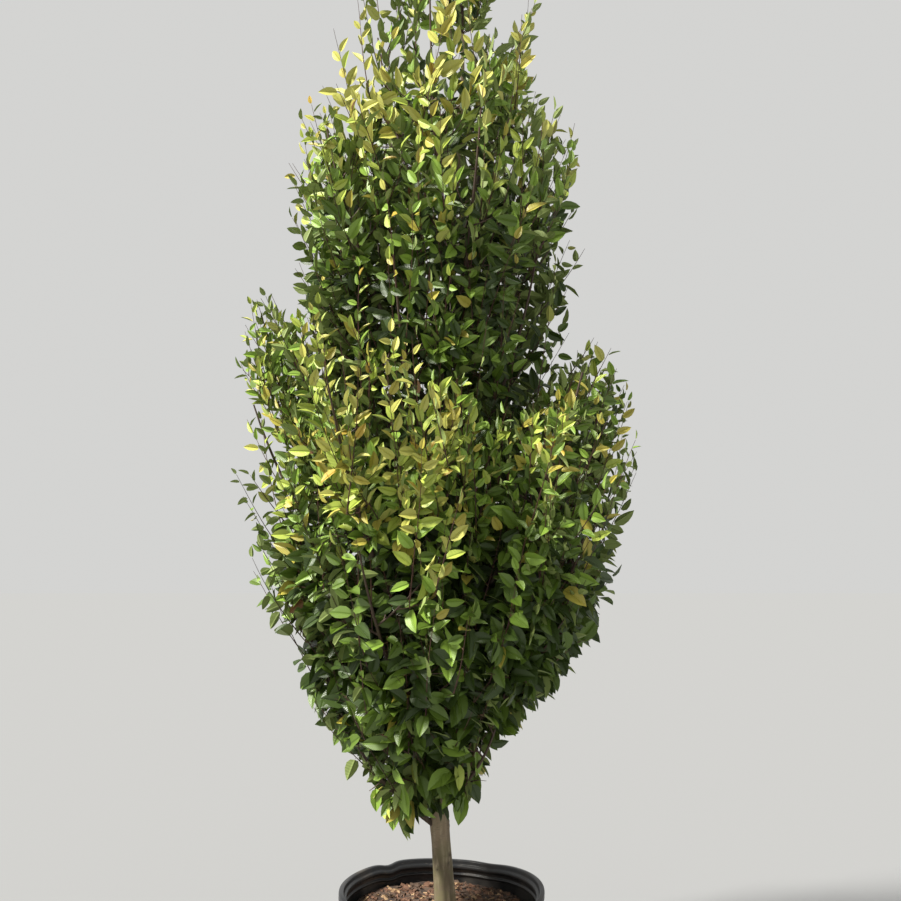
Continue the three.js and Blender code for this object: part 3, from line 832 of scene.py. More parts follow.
def trunk_finish(bark):
    """Smooth grey-beige bark with darker streaks, pale rings, knots and algae near the soil."""
    material, tree, surface = new_finish("trunk bark", 0.72)
    patches = object_noise(tree, 9.0, 4.0, (1, 1, 0.35))
    streaks = object_noise(tree, 75.0, 6.0, (1, 1, 0.16))
    specks = object_noise(tree, 160.0, 3.0, (0.4, 0.4, 2.2))
    colour = blend(tree, between(tree, patches, 0.40, 0.62), bark.trunk_shade, bark.trunk_tan)
    colour = blend(tree, times(tree, between(tree, streaks, 0.45, 0.72), 0.6), colour,
                   bark.trunk_pale)
    colour = blend(tree, times(tree, between(tree, specks, 0.56, 0.70), 0.65), colour,
                   bark.trunk_shade)
    place = put(tree, "ShaderNodeTexCoord")["Object"]
    height = put(tree, "ShaderNodeSeparateXYZ", {0: place})[2]
    low = calc(tree, "SUBTRACT", 1.0, between(tree, height, SOIL_TOP + 0.02, SOIL_TOP + 0.40))
    algae = times(tree, low, between(tree, object_noise(tree, 22.0, 5.0), 0.36, 0.60))
    colour = blend(tree, times(tree, algae, 0.85), colour, bark.algae)
    knots = put(tree, "ShaderNodeAttribute", attribute_name="knot")["Fac"]
    colour = blend(tree, knots, colour, bark.knot)
    tree.links.new(colour, surface["Base Color"])
    bump(tree, surface, calc(tree, "ADD", streaks, times(tree, specks, 0.5)), 0.45, 0.0016)
    return material


def pot_finish(pot):
    """Matt moulded plastic, scuffed and dusty where soil and hands have touched it."""
    material, tree, surface = new_finish("pot plastic", 0.5)
    dust = between(tree, object_noise(tree, 9.0, 6.0, (1, 1, 0.9)), 0.45, 0.70)
    scuffs = between(tree, object_noise(tree, 60.0, 7.0, (1, 1, 7.0)), 0.58, 0.74)
    wear = calc(tree, "MAXIMUM", times(tree, dust, 0.26), times(tree, scuffs, 0.30))
    tree.links.new(blend(tree, wear, pot.plastic, pot.dust), surface["Base Color"])
    rough = calc(tree, "ADD", times(tree, wear, 0.8), 0.36)
    tree.links.new(rough, surface["Roughness"])
    grain = object_noise(tree, 240.0, 2.0)
    bump(tree, surface, calc(tree, "ADD", grain, scuffs), 0.25, 0.0008)
    return material


def soil_finish(soil):
    material, tree, surface = new_finish("growing medium", 0.95)
    clods = object_noise(tree, 55.0, 8.0)
    colour = blend(tree, between(tree, clods, 0.35, 0.7), soil.dark, soil.brown)
    tree.links.new(colour, surface["Base Color"])
    bump(tree, surface, object_noise(tree, 180.0, 6.0), 0.8, 0.004)
    return material


# ---- node trees ----

def node_group(name, sockets):
    """An empty Geometry Nodes tree with its named inputs, and the nodes at its two ends."""
    earlier = bpy.data.node_groups.get(name)
    if earlier:
        bpy.data.node_groups.remove(earlier)
    tree = bpy.data.node_groups.new(name, "GeometryNodeTree")
    ends = (("Geometry", "INPUT", "Geometry"),
            *((label, "INPUT", kind) for label, kind in sockets.items()),
            ("Geometry", "OUTPUT", "Geometry"))
    for label, way, kind in ends:
        tree.interface.new_socket(label, in_out=way, socket_type="NodeSocket" + kind)
    return tree, tree.nodes.new("NodeGroupInput").outputs, tree.nodes.new("NodeGroupOutput")


def vector_calc(tree, operation, vector, other, place=1):
    return put(tree, "ShaderNodeVectorMath", {0: vector, place: other}, operation=operation)[0]


def sweep_tree():
    """Tapering tubes along lines, for wood of two ages, each with its own sides and finish."""
    tree, inputs, output = node_group("Hornbeam limb sweep", {
        "Old wood sides": "Int", "Young wood sides": "Int", "Relief": "Float",
        "Relief scale": "Float", "Old wood finish": "Material", "Young wood finish": "Material"})
    young = geometry(tree, "InputNamedAttribute", {"Name": "young"}, data_type="BOOLEAN")
    thickness = geometry(tree, "InputNamedAttribute", {"Name": "thickness"}, data_type="FLOAT")
    parts = put(tree, "GeometryNodeSeparateGeometry",
                {"Geometry": inputs["Geometry"], "Selection": young})
    join = tree.nodes.new("GeometryNodeJoinGeometry")
    for lines, age in ((parts[1], "Old"), (parts[0], "Young")):
        curve = geometry(tree, "MeshToCurve", {"Mesh": lines})
        ring = geometry(tree, "CurvePrimitiveCircle",
                        {"Resolution": inputs[age + " wood sides"], "Radius": 1.0})
        tube = geometry(tree, "CurveToMesh", {"Curve": curve, "Profile Curve": ring,
                                              "Scale": thickness, "Fill Caps": True})
        painted = geometry(tree, "SetMaterial",
                           {"Geometry": tube, "Material": inputs[age + " wood finish"]})
        tree.links.new(painted, join.inputs[0])
    rough = put(tree, "ShaderNodeTexNoise", {"Vector": geometry(tree, "InputPosition"),
                                             "Detail": 2.0, "Scale": inputs["Relief scale"]})[0]
    height = times(tree, calc(tree, "SUBTRACT", rough, 0.5), inputs["Relief"])
    offset = vector_calc(tree, "SCALE", geometry(tree, "InputNormal"), height, "Scale")
    moved = geometry(tree, "SetPosition", {"Geometry": join.outputs[0], "Offset": offset})
    smooth = geometry(tree, "SetShadeSmooth", {"Geometry": moved})
    tree.links.new(geometry(tree, "RealizeInstances", {"Geometry": smooth}), output.inputs[0])
    return tree


def chip_tree():
    """Splinters of bark thrown over the faces that look up."""
    tree, inputs, output = node_group("Hornbeam bark chips", {
        "Chip size": "Vector", "Chips per square metre": "Float", "Seed": "Int",
        "Finish": "Material"})

    def random_vector(low, high):
        return put(tree, "FunctionNodeRandomValue", {0: low, 1: high, 8: inputs["Seed"]},
                   data_type="FLOAT_VECTOR")[0]

    upward = put(tree, "ShaderNodeSeparateXYZ", {0: geometry(tree, "InputNormal")})[2]
    points = geometry(tree, "DistributePointsOnFaces", {
        "Mesh": inputs["Geometry"], "Selection": calc(tree, "GREATER_THAN", upward, 0.6),
        "Density": inputs["Chips per square metre"], "Seed": inputs["Seed"]})
    splinter = geometry(tree, "MeshCube", {"Size": (1, 1, 1), "Vertices X": 3})
    turn = random_vector((-0.45, -0.45, 0), (0.45, 0.45, 6.2832))
    turn = put(tree, "FunctionNodeEulerToRotation", {0: turn})[0]
    size = vector_calc(tree, "MULTIPLY", random_vector((0.35, 0.5, 0.6), (1.35, 1.25, 1.3)),
                       inputs["Chip size"])
    chips = geometry(tree, "InstanceOnPoints", {"Points": points, "Instance": splinter,
                                                "Rotation": turn, "Scale": size})
    real = geometry(tree, "RealizeInstances", {"Geometry": chips})
    rough = put(tree, "ShaderNodeTexNoise",
                {"Vector": geometry(tree, "InputPosition"), "Scale": 95.0})[1]
    rough = vector_calc(tree, "SUBTRACT", rough, (0.5, 0.5, 0.5))
    rough = vector_calc(tree, "SCALE", rough, 0.016, "Scale")
    bent = geometry(tree, "SetPosition", {"Geometry": real, "Offset": rough})
    painted = geometry(tree, "SetMaterial", {"Geometry": bent, "Material": inputs["Finish"]})
    tree.links.new(painted, output.inputs[0])
    return tree


def evaluated_mesh(tree, source, values):
    """The plain mesh that a tree makes from a helper object, which is then removed."""
    modifier = source.modifiers.new(tree.name, "NODES")
    modifier.node_group = tree
    for item in tree.interface.items_tree:
        if item.in_out == "INPUT" and item.name in values:
            modifier[item.identifier] = values[item.name]
    depsgraph = bpy.context.evaluated_depsgraph_get()
    mesh = bpy.data.meshes.new_from_object(source.evaluated_get(depsgraph), depsgraph=depsgraph)
    bpy.data.objects.remove(source)
    return mesh


def swept_mesh(paths, sides, relief, relief_scale, old, young):
    """Wood along paths of (points, radii, young), in the finishes for its two ages."""
    counts = [len(points) for points, _, _ in paths]
    places = np.arange(sum(counts))
    ends = np.cumsum(counts) - 1
    starts = np.delete(places, ends)
    mesh = bpy.data.meshes.new("lines")
    mesh.vertices.add(len(places))
    mesh.edges.add(len(starts))
    set_all(mesh.vertices, "co", np.vstack([path[0] for path in paths]))
    set_all(mesh.edges, "vertices", np.stack([starts, starts + 1], 1), np.int32)
    thickness = mesh.attributes.new("thickness", "FLOAT", "POINT")
    set_all(thickness.data, "value", np.concatenate([path[1] for path in paths]))
    age = mesh.attributes.new("young", "BOOLEAN", "POINT")
    set_all(age.data, "value", np.repeat([path[2] for path in paths], counts), bool)
    mesh.update()
    return evaluated_mesh(sweep_tree(), fresh_object("lines", mesh), {
        "Old wood sides": sides[0], "Young wood sides": sides[1], "Relief": relief,
        "Relief scale": relief_scale, "Old wood finish": old, "Young wood finish": young})


# ---- leaves ----

LEAF_STATIONS = (0.09, 0.31, 0.57, 0.81)
LEAF_HALF_WIDTHS = (0.62, 0.98, 0.94, 0.56)
LEAF_HALF_WIDTH = 0.25
EDGE_BACK = 0.015
LEFT_EDGE, RIGHT_EDGE = range(2, 6), range(6, 10)
RIB, UNDER_RIB, STALK_CORNERS = range(10, 14), range(14, 18), range(18, 22)
OUTLINE_CORNERS = range(10)
RIB_CORNERS = (0, 1, *RIB, *UNDER_RIB)
LEAF_CORNERS = 22
RIB_DEPTH = 0.012
PETIOLE = 0.13
PETIOLE_RADIUS = 0.011
# Forms of leaves, as (arch, fold, wave of the edge)
LEAF_FORMS = ((0.12, 0.45, 0.05), (0.22, 0.30, -0.06), (0.05, 0.62, 0.06), (0.30, 0.36, 0.03),
              (0.02, 0.22, -0.05), (0.16, 0.78, 0.0), (-0.06, 0.40, 0.04))


def leaf_form(arch, fold, wave):
    """Corners of one leaf, a unit long: base, tip, left edge, right edge, midrib above and below,
    and the stalk. It arches over, its halves fold up and its edge is a little wavy."""
    def rib(y):
        return -arch * y * y + arch * 0.25 * y
    corners = [(0, 0, 0), (0, 1, rib(1))]
    for side in (-1, 1):
        for k, (y, width) in enumerate(zip(LEAF_STATIONS, LEAF_HALF_WIDTHS)):
            x = width * LEAF_HALF_WIDTH
            ripple = wave * (1 if k % 2 == 0 else -1) * side
            corners.append((side * x, y - EDGE_BACK, rib(y) + x * fold + ripple * x))
    for depth in (0, RIB_DEPTH):
        corners += [(0, y, rib(y) - depth) for y in LEAF_STATIONS]
    for turn in (0.5, 0.5 + 2 / 3, 0.5 + 4 / 3):
        corners.append((PETIOLE_RADIUS * math.cos(turn * math.pi), -PETIOLE,
                        PETIOLE_RADIUS * math.sin(turn * math.pi)))
    corners.append((0, 0.03, rib(0.03) - 0.004))
    return corners


def leaf_faces():
    """Triangles of one leaf, and for each 0 on its upper side, 1 below and 2 on its stalk."""
    above, under = [], []
    for faces, rib, way in ((above, RIB, 1), (under, UNDER_RIB, -1)):
        for edge, hand in ((RIGHT_EDGE, way), (LEFT_EDGE, -way)):
            half = [(0, edge[0], rib[0]), (rib[-1], edge[-1], 1)]
            for i in range(len(edge) - 1):
                half += [(rib[i], edge[i], edge[i + 1]), (rib[i], edge[i + 1], rib[i + 1])]
            faces += [face[::hand] for face in half]
    a, b, c, top = STALK_CORNERS
    stalk = [(a, b, top), (b, c, top), (c, a, top), (a, c, b)]
    parts = [0] * len(above) + [1] * len(under) + [2] * len(stalk)
    return np.array(above + under + stalk), np.array(parts)


def leaf_map_corners():
    """Place of each corner on a leaf's map: 0.5 across is the midrib, and up is to the tip."""
    flat = np.array(leaf_form(0, 0, 0))
    across = 0.5 + flat[:, 0] / LEAF_HALF_WIDTH * 0.5
    return np.stack([across, np.clip(flat[:, 1], 0, 1)], axis=1)


def leaves_mesh(leaves):
    """One mesh of all the leaves of a mass. Materials: the tints, two undersides, the stalk."""
    roots, across, along, normal, sizes, keys, tints = (np.array(values) for values in zip(*leaves))
    forms = np.array([leaf_form(*form) for form in LEAF_FORMS])
    chosen = forms[keys * 7 % len(LEAF_FORMS)] * sizes[:, None, None]
    widths = np.array([vary(LEAF_WIDTHS, key, 26) for key in keys])
    widths *= reading(LEAF_WIDENING, climb(roots))
    chosen[:, :, 0] *= widths[:, None]
    bases = roots + along * (sizes * PETIOLE)[:, None]
    corners = (bases[:, None] + chosen[:, :, :1] * across[:, None]
               + chosen[:, :, 1:2] * along[:, None] + chosen[:, :, 2:] * normal[:, None])
    faces, parts = leaf_faces()
    count = len(leaves)
    triangles = (faces[None] + np.arange(count)[:, None, None] * LEAF_CORNERS).reshape(-1, 3)
    mesh = triangle_mesh("leaves", corners.reshape(-1, 3), triangles)
    green = len(TINTS)
    under = np.where(tints >= TINTS.index("olive"), green + 1, green)
    slots = np.stack([tints, under, np.full(count, green + 2)], 1)[:, parts]
    set_all(mesh.polygons, "material_index", slots, np.int32)
    places = np.tile(leaf_map_corners()[faces.ravel()], (count, 1))
    set_all(mesh.uv_layers.new(name=LEAF_MAP).uv, "vector", places)
    ends = np.empty(len(mesh.edges) * 2, np.int32)
    mesh.edges.foreach_get("vertices", ends)
    local = ends.reshape(-1, 2) % LEAF_CORNERS
    sharp = np.zeros(len(local), bool)
    for group in (OUTLINE_CORNERS, RIB_CORNERS, STALK_CORNERS):
        sharp |= np.isin(local, list(group)).all(axis=1)
    set_all(mesh.attributes.new("sharp_edge", "BOOLEAN", "EDGE").data, "value", sharp, bool)
    return mesh


# ---- settings ----

def number(name, default, description, **options):
    return FloatProperty(name=name, description=description, default=default, min=0.0, **options)


def length(name, default, description):
    return number(name, default, description, unit="LENGTH", subtype="DISTANCE", precision=4)


def count(name, default, description):
    return IntProperty(name=name, description=description, default=default, min=1)


def colour(name, code, description):
    """A colour setting from its display code, held as linear light."""
    shares = [int(code[i:i + 2], 16) / 255 for i in (0, 2, 4)]
    linear = [s / 12.92 if s <= 0.04045 else ((s + 0.055) / 1.055) ** 2.4 for s in shares]
    return FloatVectorProperty(name=name, description=description, default=linear, size=3,
                               min=0.0, max=1.0, subtype="COLOR")


class HornbeamCrown(bpy.types.PropertyGroup):
    leaf_length: length("Leaf length", 0.066, "Length of a leaf's blade in the middle of a shoot")
    node_spacing: length("Node spacing", 0.025, "Distance from one leaf to the next on a shoot")
    spray_spacing: length("Spray spacing", 0.062, "Distance between the sprays that fill a mass")
    twig_nodes: count("Twig nodes", 13, "Most nodes on one twig")
    shoot_nodes: count("Shoot nodes", 7, "Most nodes on one side shoot")
    whip_nodes: count("Whip nodes", 19, "Most nodes on one long straight shoot")
    whips: count("Whips", 46, "Long straight shoots on the outside of each mass")
    twig_width: length("Twig width", 0.0062, "Width of a twig where it leaves its stem")
    shoot_width: length("Shoot width", 0.0032, "Width of a side shoot where it leaves its twig")
    # The greens from deep to lime are dealt out by tone: partly the leaves' own colour, partly
    # painted shade in deep and mid green and painted light in yellow-green and lime
    deep_green: colour("Deep green", "35471a", "Sprays in the shade of the crown")
    mid_green: colour("Mid green", "546b24", "Sprays of the crown's flanks")
    fresh_green: colour("Fresh green", "7d9a3b", "Sprays in open light")
    yellow_green: colour("Yellow-green", "a2b14b", "Sprays that face the sky")
    lime: colour("Lime", "b9b85d", "Sprays at the top of the crown")
    olive: colour("Olive", "a9a045", "Sprays that start to turn")
    gold: colour("Gold", "b99f41", "Sprays in autumn colour")
    russet: colour("Russet", "7d5a34", "Sprays that have dried")
    underside: colour("Green underside", "829250", "Lower side of the green leaves")
    turned_underside: colour("Turned underside", "adb05c", "Lower side of the turning leaves")
    stalk: colour("Leaf stalk", "7a5a3a", "Stalks of the leaves")
    leaf_roughness: number("Leaf roughness", 0.37, "Roughness of the upper side of a leaf")
    vein_relief: length("Vein relief", 0.0012, "Depth of the pleats between the side veins")
    twig_colour: colour("Twig bark", "4c3c30", "Bark of the older twigs and stems")
    shoot_colour: colour("Shoot bark", "4a2e26", "Bark of this year's shoots")


class HornbeamBark(bpy.types.PropertyGroup):
    relief: length("Bark relief", 0.0012, "Height of the trunk's long ridges")
    trunk_tan: colour("Tan bark", "a28e74", "Lit bark of the trunk")
    trunk_shade: colour("Grey bark", "655a46", "Darker bark of the trunk")
    trunk_pale: colour("Pale bark", "b7a98e", "Pale streaks of the trunk")
    algae: colour("Algae", "686543", "Green film near the soil")
    knot: colour("Knots", "3a2f26", "Small scars where side shoots were cut")
    bough_light: colour("Light bough bark", "77695a", "Raised bark of the boughs")
    bough_dark: colour("Dark bough bark", "453a30", "Sunk bark of the boughs")


class HornbeamPot(bpy.types.PropertyGroup):
    height: length("Height", 0.430, "Height of the pot")
    rim_radius: length("Rim radius", 0.305, "Outer radius of the rolled rim")
    foot_radius: length("Foot radius", 0.258, "Radius of the underside")
    wall: length("Wall", 0.004, "Thickness of the wall")
    wave: length("Rim wave", 0.0055, "How far the rim strays from a level circle")
    plastic: colour("Plastic", "1b1c1e", "The pot's moulded plastic")
    dust: colour("Dust", "6d655a", "Dust and scuffs on the plastic")


class HornbeamSoil(bpy.types.PropertyGroup):
    chip_length: length("Chip length", 0.024, "Usual length of a bark chip")
    chips: number("Chips", 2600.0, "Bark chips of each colour per square metre")
    dark: colour("Dark soil", "281e18", "Damp growing medium")
    brown: colour("Brown soil", "4c3a2e", "Dry growing medium")
    chip_red: colour("Red chips", "634634", "Reddish bark chips")
    chip_brown: colour("Brown chips", "4a392c", "Weathered bark chips")
    chip_tan: colour("Tan chips", "94795a", "Pale splinters of wood")


class HornbeamStage(bpy.types.PropertyGroup):
    floor: colour("Floor", "858687", "The plain pale floor")
    sky: colour("Backdrop", "f2f2f0", "Even light all round")
    key_strength: number("Key light", 6.7, "Strength of the soft light from the upper left")


GROUPS = {"hornbeam_crown": HornbeamCrown, "hornbeam_bark": HornbeamBark,
          "hornbeam_pot": HornbeamPot, "hornbeam_soil": HornbeamSoil,
          "hornbeam_stage": HornbeamStage}

# ---- pot and soil ----

# Profiles of the pot, as (out, up) from its foot's edge and from a band's middle, (in, down) from
# its rim's outer edge, and (down, in) inside it; and the dents in its rim, as (bearing, depth in
# rim waves, spread in radians)
FOOT = ((-0.030, 0.0), (-0.026, 0.003), (-0.018, 0.003), (-0.014, 0.0), (-0.001, 0.0),
        (0.001, 0.008))
BAND = ((0.0, -0.0085), (0.0062, -0.0035), (0.0062, 0.0035), (0.0, 0.0085))
BAND_DROPS = (0.118, 0.062)
LIP = 0.026
RIM = ((0.002, 0.024), (0.0, 0.017), (0.0035, 0.0125), (0.0, 0.009), (0.001, 0.001))
INSIDE = ((0.002, 0.0), (0.013, 0.001), (0.0165, 0.008), (0.024, 0.009), (0.030, 0.002),
          (0.040, 0.0), (0.043, 0.005), (0.047, 0.005), (0.050, 0.0), (0.230, 0.0))
FLOOR_THICKNESS = 0.006
RIM_IN = 0.011
CORNER_RADIUS = 0.0022
POT_SIDES = 180
DENTS = ((124, 1.3, 0.09), (58, 0.5, 0.16), (205, 1.2, 0.12), (328, 1.1, 0.14))


def around(sides):
    return np.arange(sides) * 2 * math.pi / sides


def pot_waves(angles, height, pot):
    """How far the pot strays outwards and upwards from a true circle at a height."""
    dents = sum(depth * np.exp(-(((angles - math.radians(middle) + math.pi) % FULL_TURN
                                  - math.pi) / spread) ** 2) for middle, depth, spread in DENTS)
    strength = pot.wave * (max(height, 0.0) / pot.height) ** 3
    return (strength * (np.sin(angles * 3 + 0.6) + 0.6 * np.sin(angles * 5 + 2.1) - dents),
            strength * (np.sin(angles * 2 + 1.1) + 0.7 * np.sin(angles * 4 + 0.3) - dents))


def lathe(profile, pot):
    """Closed shell from a profile of (radius, height) that starts and ends on the axis."""
    angles = around(POT_SIDES)
    rings = []
    for radius, height in profile[1:-1]:
        out, up = pot_waves(angles, height, pot)
        rings.append(np.stack([(radius + out) * np.cos(angles), (radius + out) * np.sin(angles),
                               height + up], 1))
    ends = [[(0.0, 0.0, height)] for _, height in (profile[0], profile[-1])]
    corners = np.vstack([ends[0], *rings, ends[1]])
    return triangle_mesh("pot_shell", corners, turned_faces(len(rings), POT_SIDES))


def wall_radius(pot, height):
    """Outer radius of the pot's plain wall."""
    return lerp(pot.foot_radius, pot.rim_radius - RIM_IN, height / pot.height)


def rounded(points, radius, steps=4):
    """A profile with its corners rounded off, apart from its two ends."""
    points = [np.array(point, float) for point in points]
    out = [points[0]]
    for before, corner, after in zip(points, points[1:-1], points[2:]):
        near = min(radius, np.linalg.norm(before - corner) * 0.45)
        far = min(radius, np.linalg.norm(after - corner) * 0.45)
        start = corner + unit(before - corner) * near
        end = corner + unit(after - corner) * far
        out += [bend(start, corner, end, share) for share in np.linspace(0, 1, steps)]
    return out + [points[-1]]


class HORNBEAM_OT_pot(bpy.types.Operator):
    """Makes the round pot with its two bands and its rolled, slightly wavy rim"""
    bl_idname = "hornbeam.pot"
    bl_label = "Pot"

    def execute(self, context):
        pot = context.scene.hornbeam_pot
        top = pot.height
        outline = [(0, 0.0)] + [(pot.foot_radius + out, up) for out, up in FOOT]
        for drop in BAND_DROPS:
            middle = top - drop
            outline += [(wall_radius(pot, middle if out else middle + up) + out, middle + up)
                        for out, up in BAND]
        outline.append((wall_radius(pot, top - LIP), top - LIP))
        outline += [(pot.rim_radius - inward, top - drop) for inward, drop in RIM]
        outline.append((wall_radius(pot, top), top))
        outline += [(wall_radius(pot, top - drop) - pot.wall - inward, top - drop)
                    for drop, inward in (*INSIDE, (top - FLOOR_THICKNESS, 0.0))]
        outline.append((0, FLOOR_THICKNESS))
        piece = fresh_object("pot_shell", lathe(rounded(outline, CORNER_RADIUS), pot))
        piece.data.materials.append(pot_finish(pot))
        dress(piece, "pot", "pot")
        return {"FINISHED"}


# Rings and sides of the bed, heights of its wall, how its top sinks at the edge and before that,
# size and depth of its lumps, height and breadth of the mound at the trunk, and how far it and the
# ground of the chips keep from the pot's wall
BED_RINGS, BED_SIDES = 44, 120
BED_WALL = (0.15, 0.24, 0.31, SOIL_TOP - 0.012)
BED_SUNK = 0.006
BED_LUMPS = (22, 0.005)
MOUND = (0.008, 0.085)
BED_INSET = 0.0052
CHIP_INSET = 0.0192
CHIP_FLOOR = 0.1
CHIP_SHAPE = (1.0, 0.42, 0.2)


def soil_bed_mesh(pot, inset, floor):
    """The growing medium, which follows the pot's wall at a distance and heaps up at the trunk."""
    angles = around(BED_SIDES)
    corners = [(0.0, 0.0, floor)]
    for height in (floor, *BED_WALL):
        edge = wall_radius(pot, height) - inset + pot_waves(angles, height, pot)[0]
        corners += [(r * math.cos(a), r * math.sin(a), height) for r, a in zip(edge, angles)]
    for ring in range(1, BED_RINGS):
        for full, a in zip(edge, angles):
            r = full * (1 - ring / BED_RINGS)
            x, y = r * math.cos(a), r * math.sin(a)
            scale, depth = BED_LUMPS
            lump = noise.fractal(Vector((x * scale, y * scale, 0.4)), 1.0, 2.0, 4) * depth
            mound = MOUND[0] * math.exp(-(math.hypot(x - TRUNK_X, y) / MOUND[1]) ** 2)
            corners.append((x, y, SOIL_TOP - BED_SUNK + lump + mound))
    corners.append((0.0, 0.0, SOIL_TOP + 0.002))
    faces = turned_faces(BED_RINGS + len(BED_WALL), BED_SIDES)
    return triangle_mesh("soil_bed", corners, faces)


class HORNBEAM_OT_soil(bpy.types.Operator):
    """Makes the growing medium and throws bark chips over it"""
    bl_idname = "hornbeam.soil"
    bl_label = "Soil and bark chips"

    def execute(self, context):
        soil, pot = context.scene.hornbeam_soil, context.scene.hornbeam_pot
        bed = fresh_object("soil_bed", soil_bed_mesh(pot, BED_INSET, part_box("soil")[0].z))
        tree = chip_tree()
        chips = (("brown", soil.chip_brown, 1.0), ("red", soil.chip_red, 1.0),
                 ("tan", soil.chip_tan, 0.35))
        for seed, (tone, colour, share) in enumerate(chips, start=3):
            helper = fresh_object("chip_ground", soil_bed_mesh(pot, CHIP_INSET, CHIP_FLOOR))
            finish = grained_finish(f"bark chips {tone}", colour, 0.85,
                                    (350.0, 4.0, (1, 0.3, 1)), 0.6, 0.001)
            mesh = evaluated_mesh(tree, helper, {
                "Chip size": tuple(soil.chip_length * size for size in CHIP_SHAPE),
                "Chips per square metre": soil.chips * share, "Seed": seed, "Finish": finish})
            dress(fresh_object(f"bark_chips_{tone}", mesh), "soil", "soil")
        bed.data.materials.append(soil_finish(soil))
        dress(bed, "soil", "soil")
        return {"FINISHED"}


# ---- trunk and boughs ----

TRUNK_RINGS = 330
TRUNK_SIDES = 48
TRUNK_SUNK = 0.010
# How the trunk's rings crowd towards its foot, and how the flare of its roots fades
RING_CROWDING = 1.15
FLARE_FADE = 0.05
# Knots: how many, and the least and the range of their heights and sizes
KNOTS = 26
KNOT_HEIGHTS = (0.07, 0.75)
KNOT_SIZES = (0.003, 0.006)
# Boughs: how much wider they are where they leave the trunk, and how soon that fades
COLLAR = 0.45
COLLAR_FADE = 0.035


def round_noise(angle, scale, height):
    return noise.noise(Vector((math.cos(angle) * scale, math.sin(angle) * scale, height)))


def trunk_mesh(relief):
    """The trunk with long shallow ridges, root flare, swollen bough feet and knots."""
    steps = np.linspace(0, 1, TRUNK_RINGS) ** RING_CROWDING
    knots = [(KNOT_HEIGHTS[0] + KNOT_HEIGHTS[1] * chance(k, 51) ** 1.3, FULL_TURN * chance(k, 52),
              vary(KNOT_SIZES, k, 53)) for k in range(KNOTS)]
    feet = [(climb(limb.foot), math.atan2(*(limb.elbow - limb.foot)[[1, 0]]), limb.width)
            for limb in LIMBS[:-1]]
    corners, marks = [tuple(trunk_point(-TRUNK_SUNK))], [0.0]
    for height in lerp(-TRUNK_SUNK, TRUNK_HEIGHT, steps):
        centre = trunk_point(height)
        half = reading(TRUNK_WIDTH, height) / 2

        def apart(angle, bearing, rise):
            return math.hypot(math.remainder(angle - bearing, FULL_TURN) * half, rise)

        for angle in around(TRUNK_SIDES):
            ridge, fine = round_noise(angle, 2.3, height * 1.3), round_noise(angle, 9, height * 11)
            radius = half + relief * (ridge * 1.6 + fine * 0.35) * min(1.0, half / 0.012)
            flare = 0.010 * round_noise(angle, 1.3, 5.2) + 0.001 * math.sin(angle * 5)
            radius += flare * math.exp(-max(height, 0) / FLARE_FADE)
            mark = 0.0
            for foot, bearing, width in feet:
                near = apart(angle, bearing, (height - foot - 0.004) * 0.55) / (width * 0.62)
                if near < 2.5:
                    radius += width * 0.16 * math.exp(-near * near)
            for place, bearing, size in knots:
                near = apart(angle, bearing, height - place) / size
                if near < 3:
                    radius += (0.0014 * math.exp(-(near - 1.1) ** 2 * 3)
                               - 0.001 * math.exp(-near * near * 3))
                    mark = max(mark, math.exp(-near * near * 1.2))
            corners.append((centre[0] + radius * math.cos(angle),
                            centre[1] + radius * math.sin(angle), centre[2]))
            marks.append(mark)
    corners.append(tuple(trunk_point(TRUNK_HEIGHT)))
    mesh = triangle_mesh("trunk_bark", corners, turned_faces(TRUNK_RINGS, TRUNK_SIDES))
    set_all(mesh.attributes.new("knot", "FLOAT", "POINT").data, "value", [*marks, 0.0])
    return mesh


class HORNBEAM_OT_limbs(bpy.types.Operator):
    """Makes the trunk and the boughs with the relief of their bark"""
    bl_idname = "hornbeam.limbs"
    bl_label = "Trunk and boughs"

    def execute(self, context):
        bark = context.scene.hornbeam_bark
        trunk = fresh_object("trunk_bark", trunk_mesh(bark.relief))
        trunk.data.materials.append(trunk_finish(bark))
        dress(trunk, "trunk_bark", "trunk")
        paths = []
        for limb in LIMBS[:-1]:
            inside = reading(TRUNK_WIDTH, climb(limb.foot)) * 0.3
            shares = np.linspace(inside / 1.2, limb.gate, 28)
            collar = 1 + COLLAR * np.exp(-((shares - shares[0]) / COLLAR_FADE))
            paths.append((limb.point(shares), limb.radius(shares) * collar, False))
        finish = bough_finish(bark)
        mesh = swept_mesh(paths, (14, 3), bark.relief * 1.6, 60.0, finish, finish)
        names = [f"bough_{number:02d}" for number in range(1, len(LIMBS))]
        dress(fresh_object("bough_bark", mesh), "bough_bark", *names)
        return {"FINISHED"}


# ---- crown ----

GROWN = {}


def crown_growth(scene):
    """The numbers and growth of all masses, worked out once for each set of settings."""
    crown = scene.hornbeam_crown
    key = str([getattr(crown, name) for name in HornbeamCrown.__annotations__])
    if key not in GROWN:
        GROWN.clear()
        GROWN[key] = [Mass(owner, crown).grow() for owner in range(len(LIMBS))]
    return [(f"{place:02d}", mass) for place, mass in enumerate(GROWN[key], start=1)]


class HORNBEAM_OT_twigs(bpy.types.Operator):
    """Makes the stem, twigs and shoots of each mass of foliage"""
    bl_idname = "hornbeam.twigs"
    bl_label = "Twigs"

    def execute(self, context):
        crown = context.scene.hornbeam_crown
        old = twig_finish("twig bark", crown.twig_colour, 0.7)
        young = twig_finish("shoot bark", crown.shoot_colour, 0.5)
        for place, mass in crown_growth(context.scene):
            mesh = swept_mesh(mass.paths, (5, 3), 0.0004, 300.0, old, young)
            dress(fresh_object("twigs_" + place, mesh), "bough_bark", "foliage_" + place)
        return {"FINISHED"}


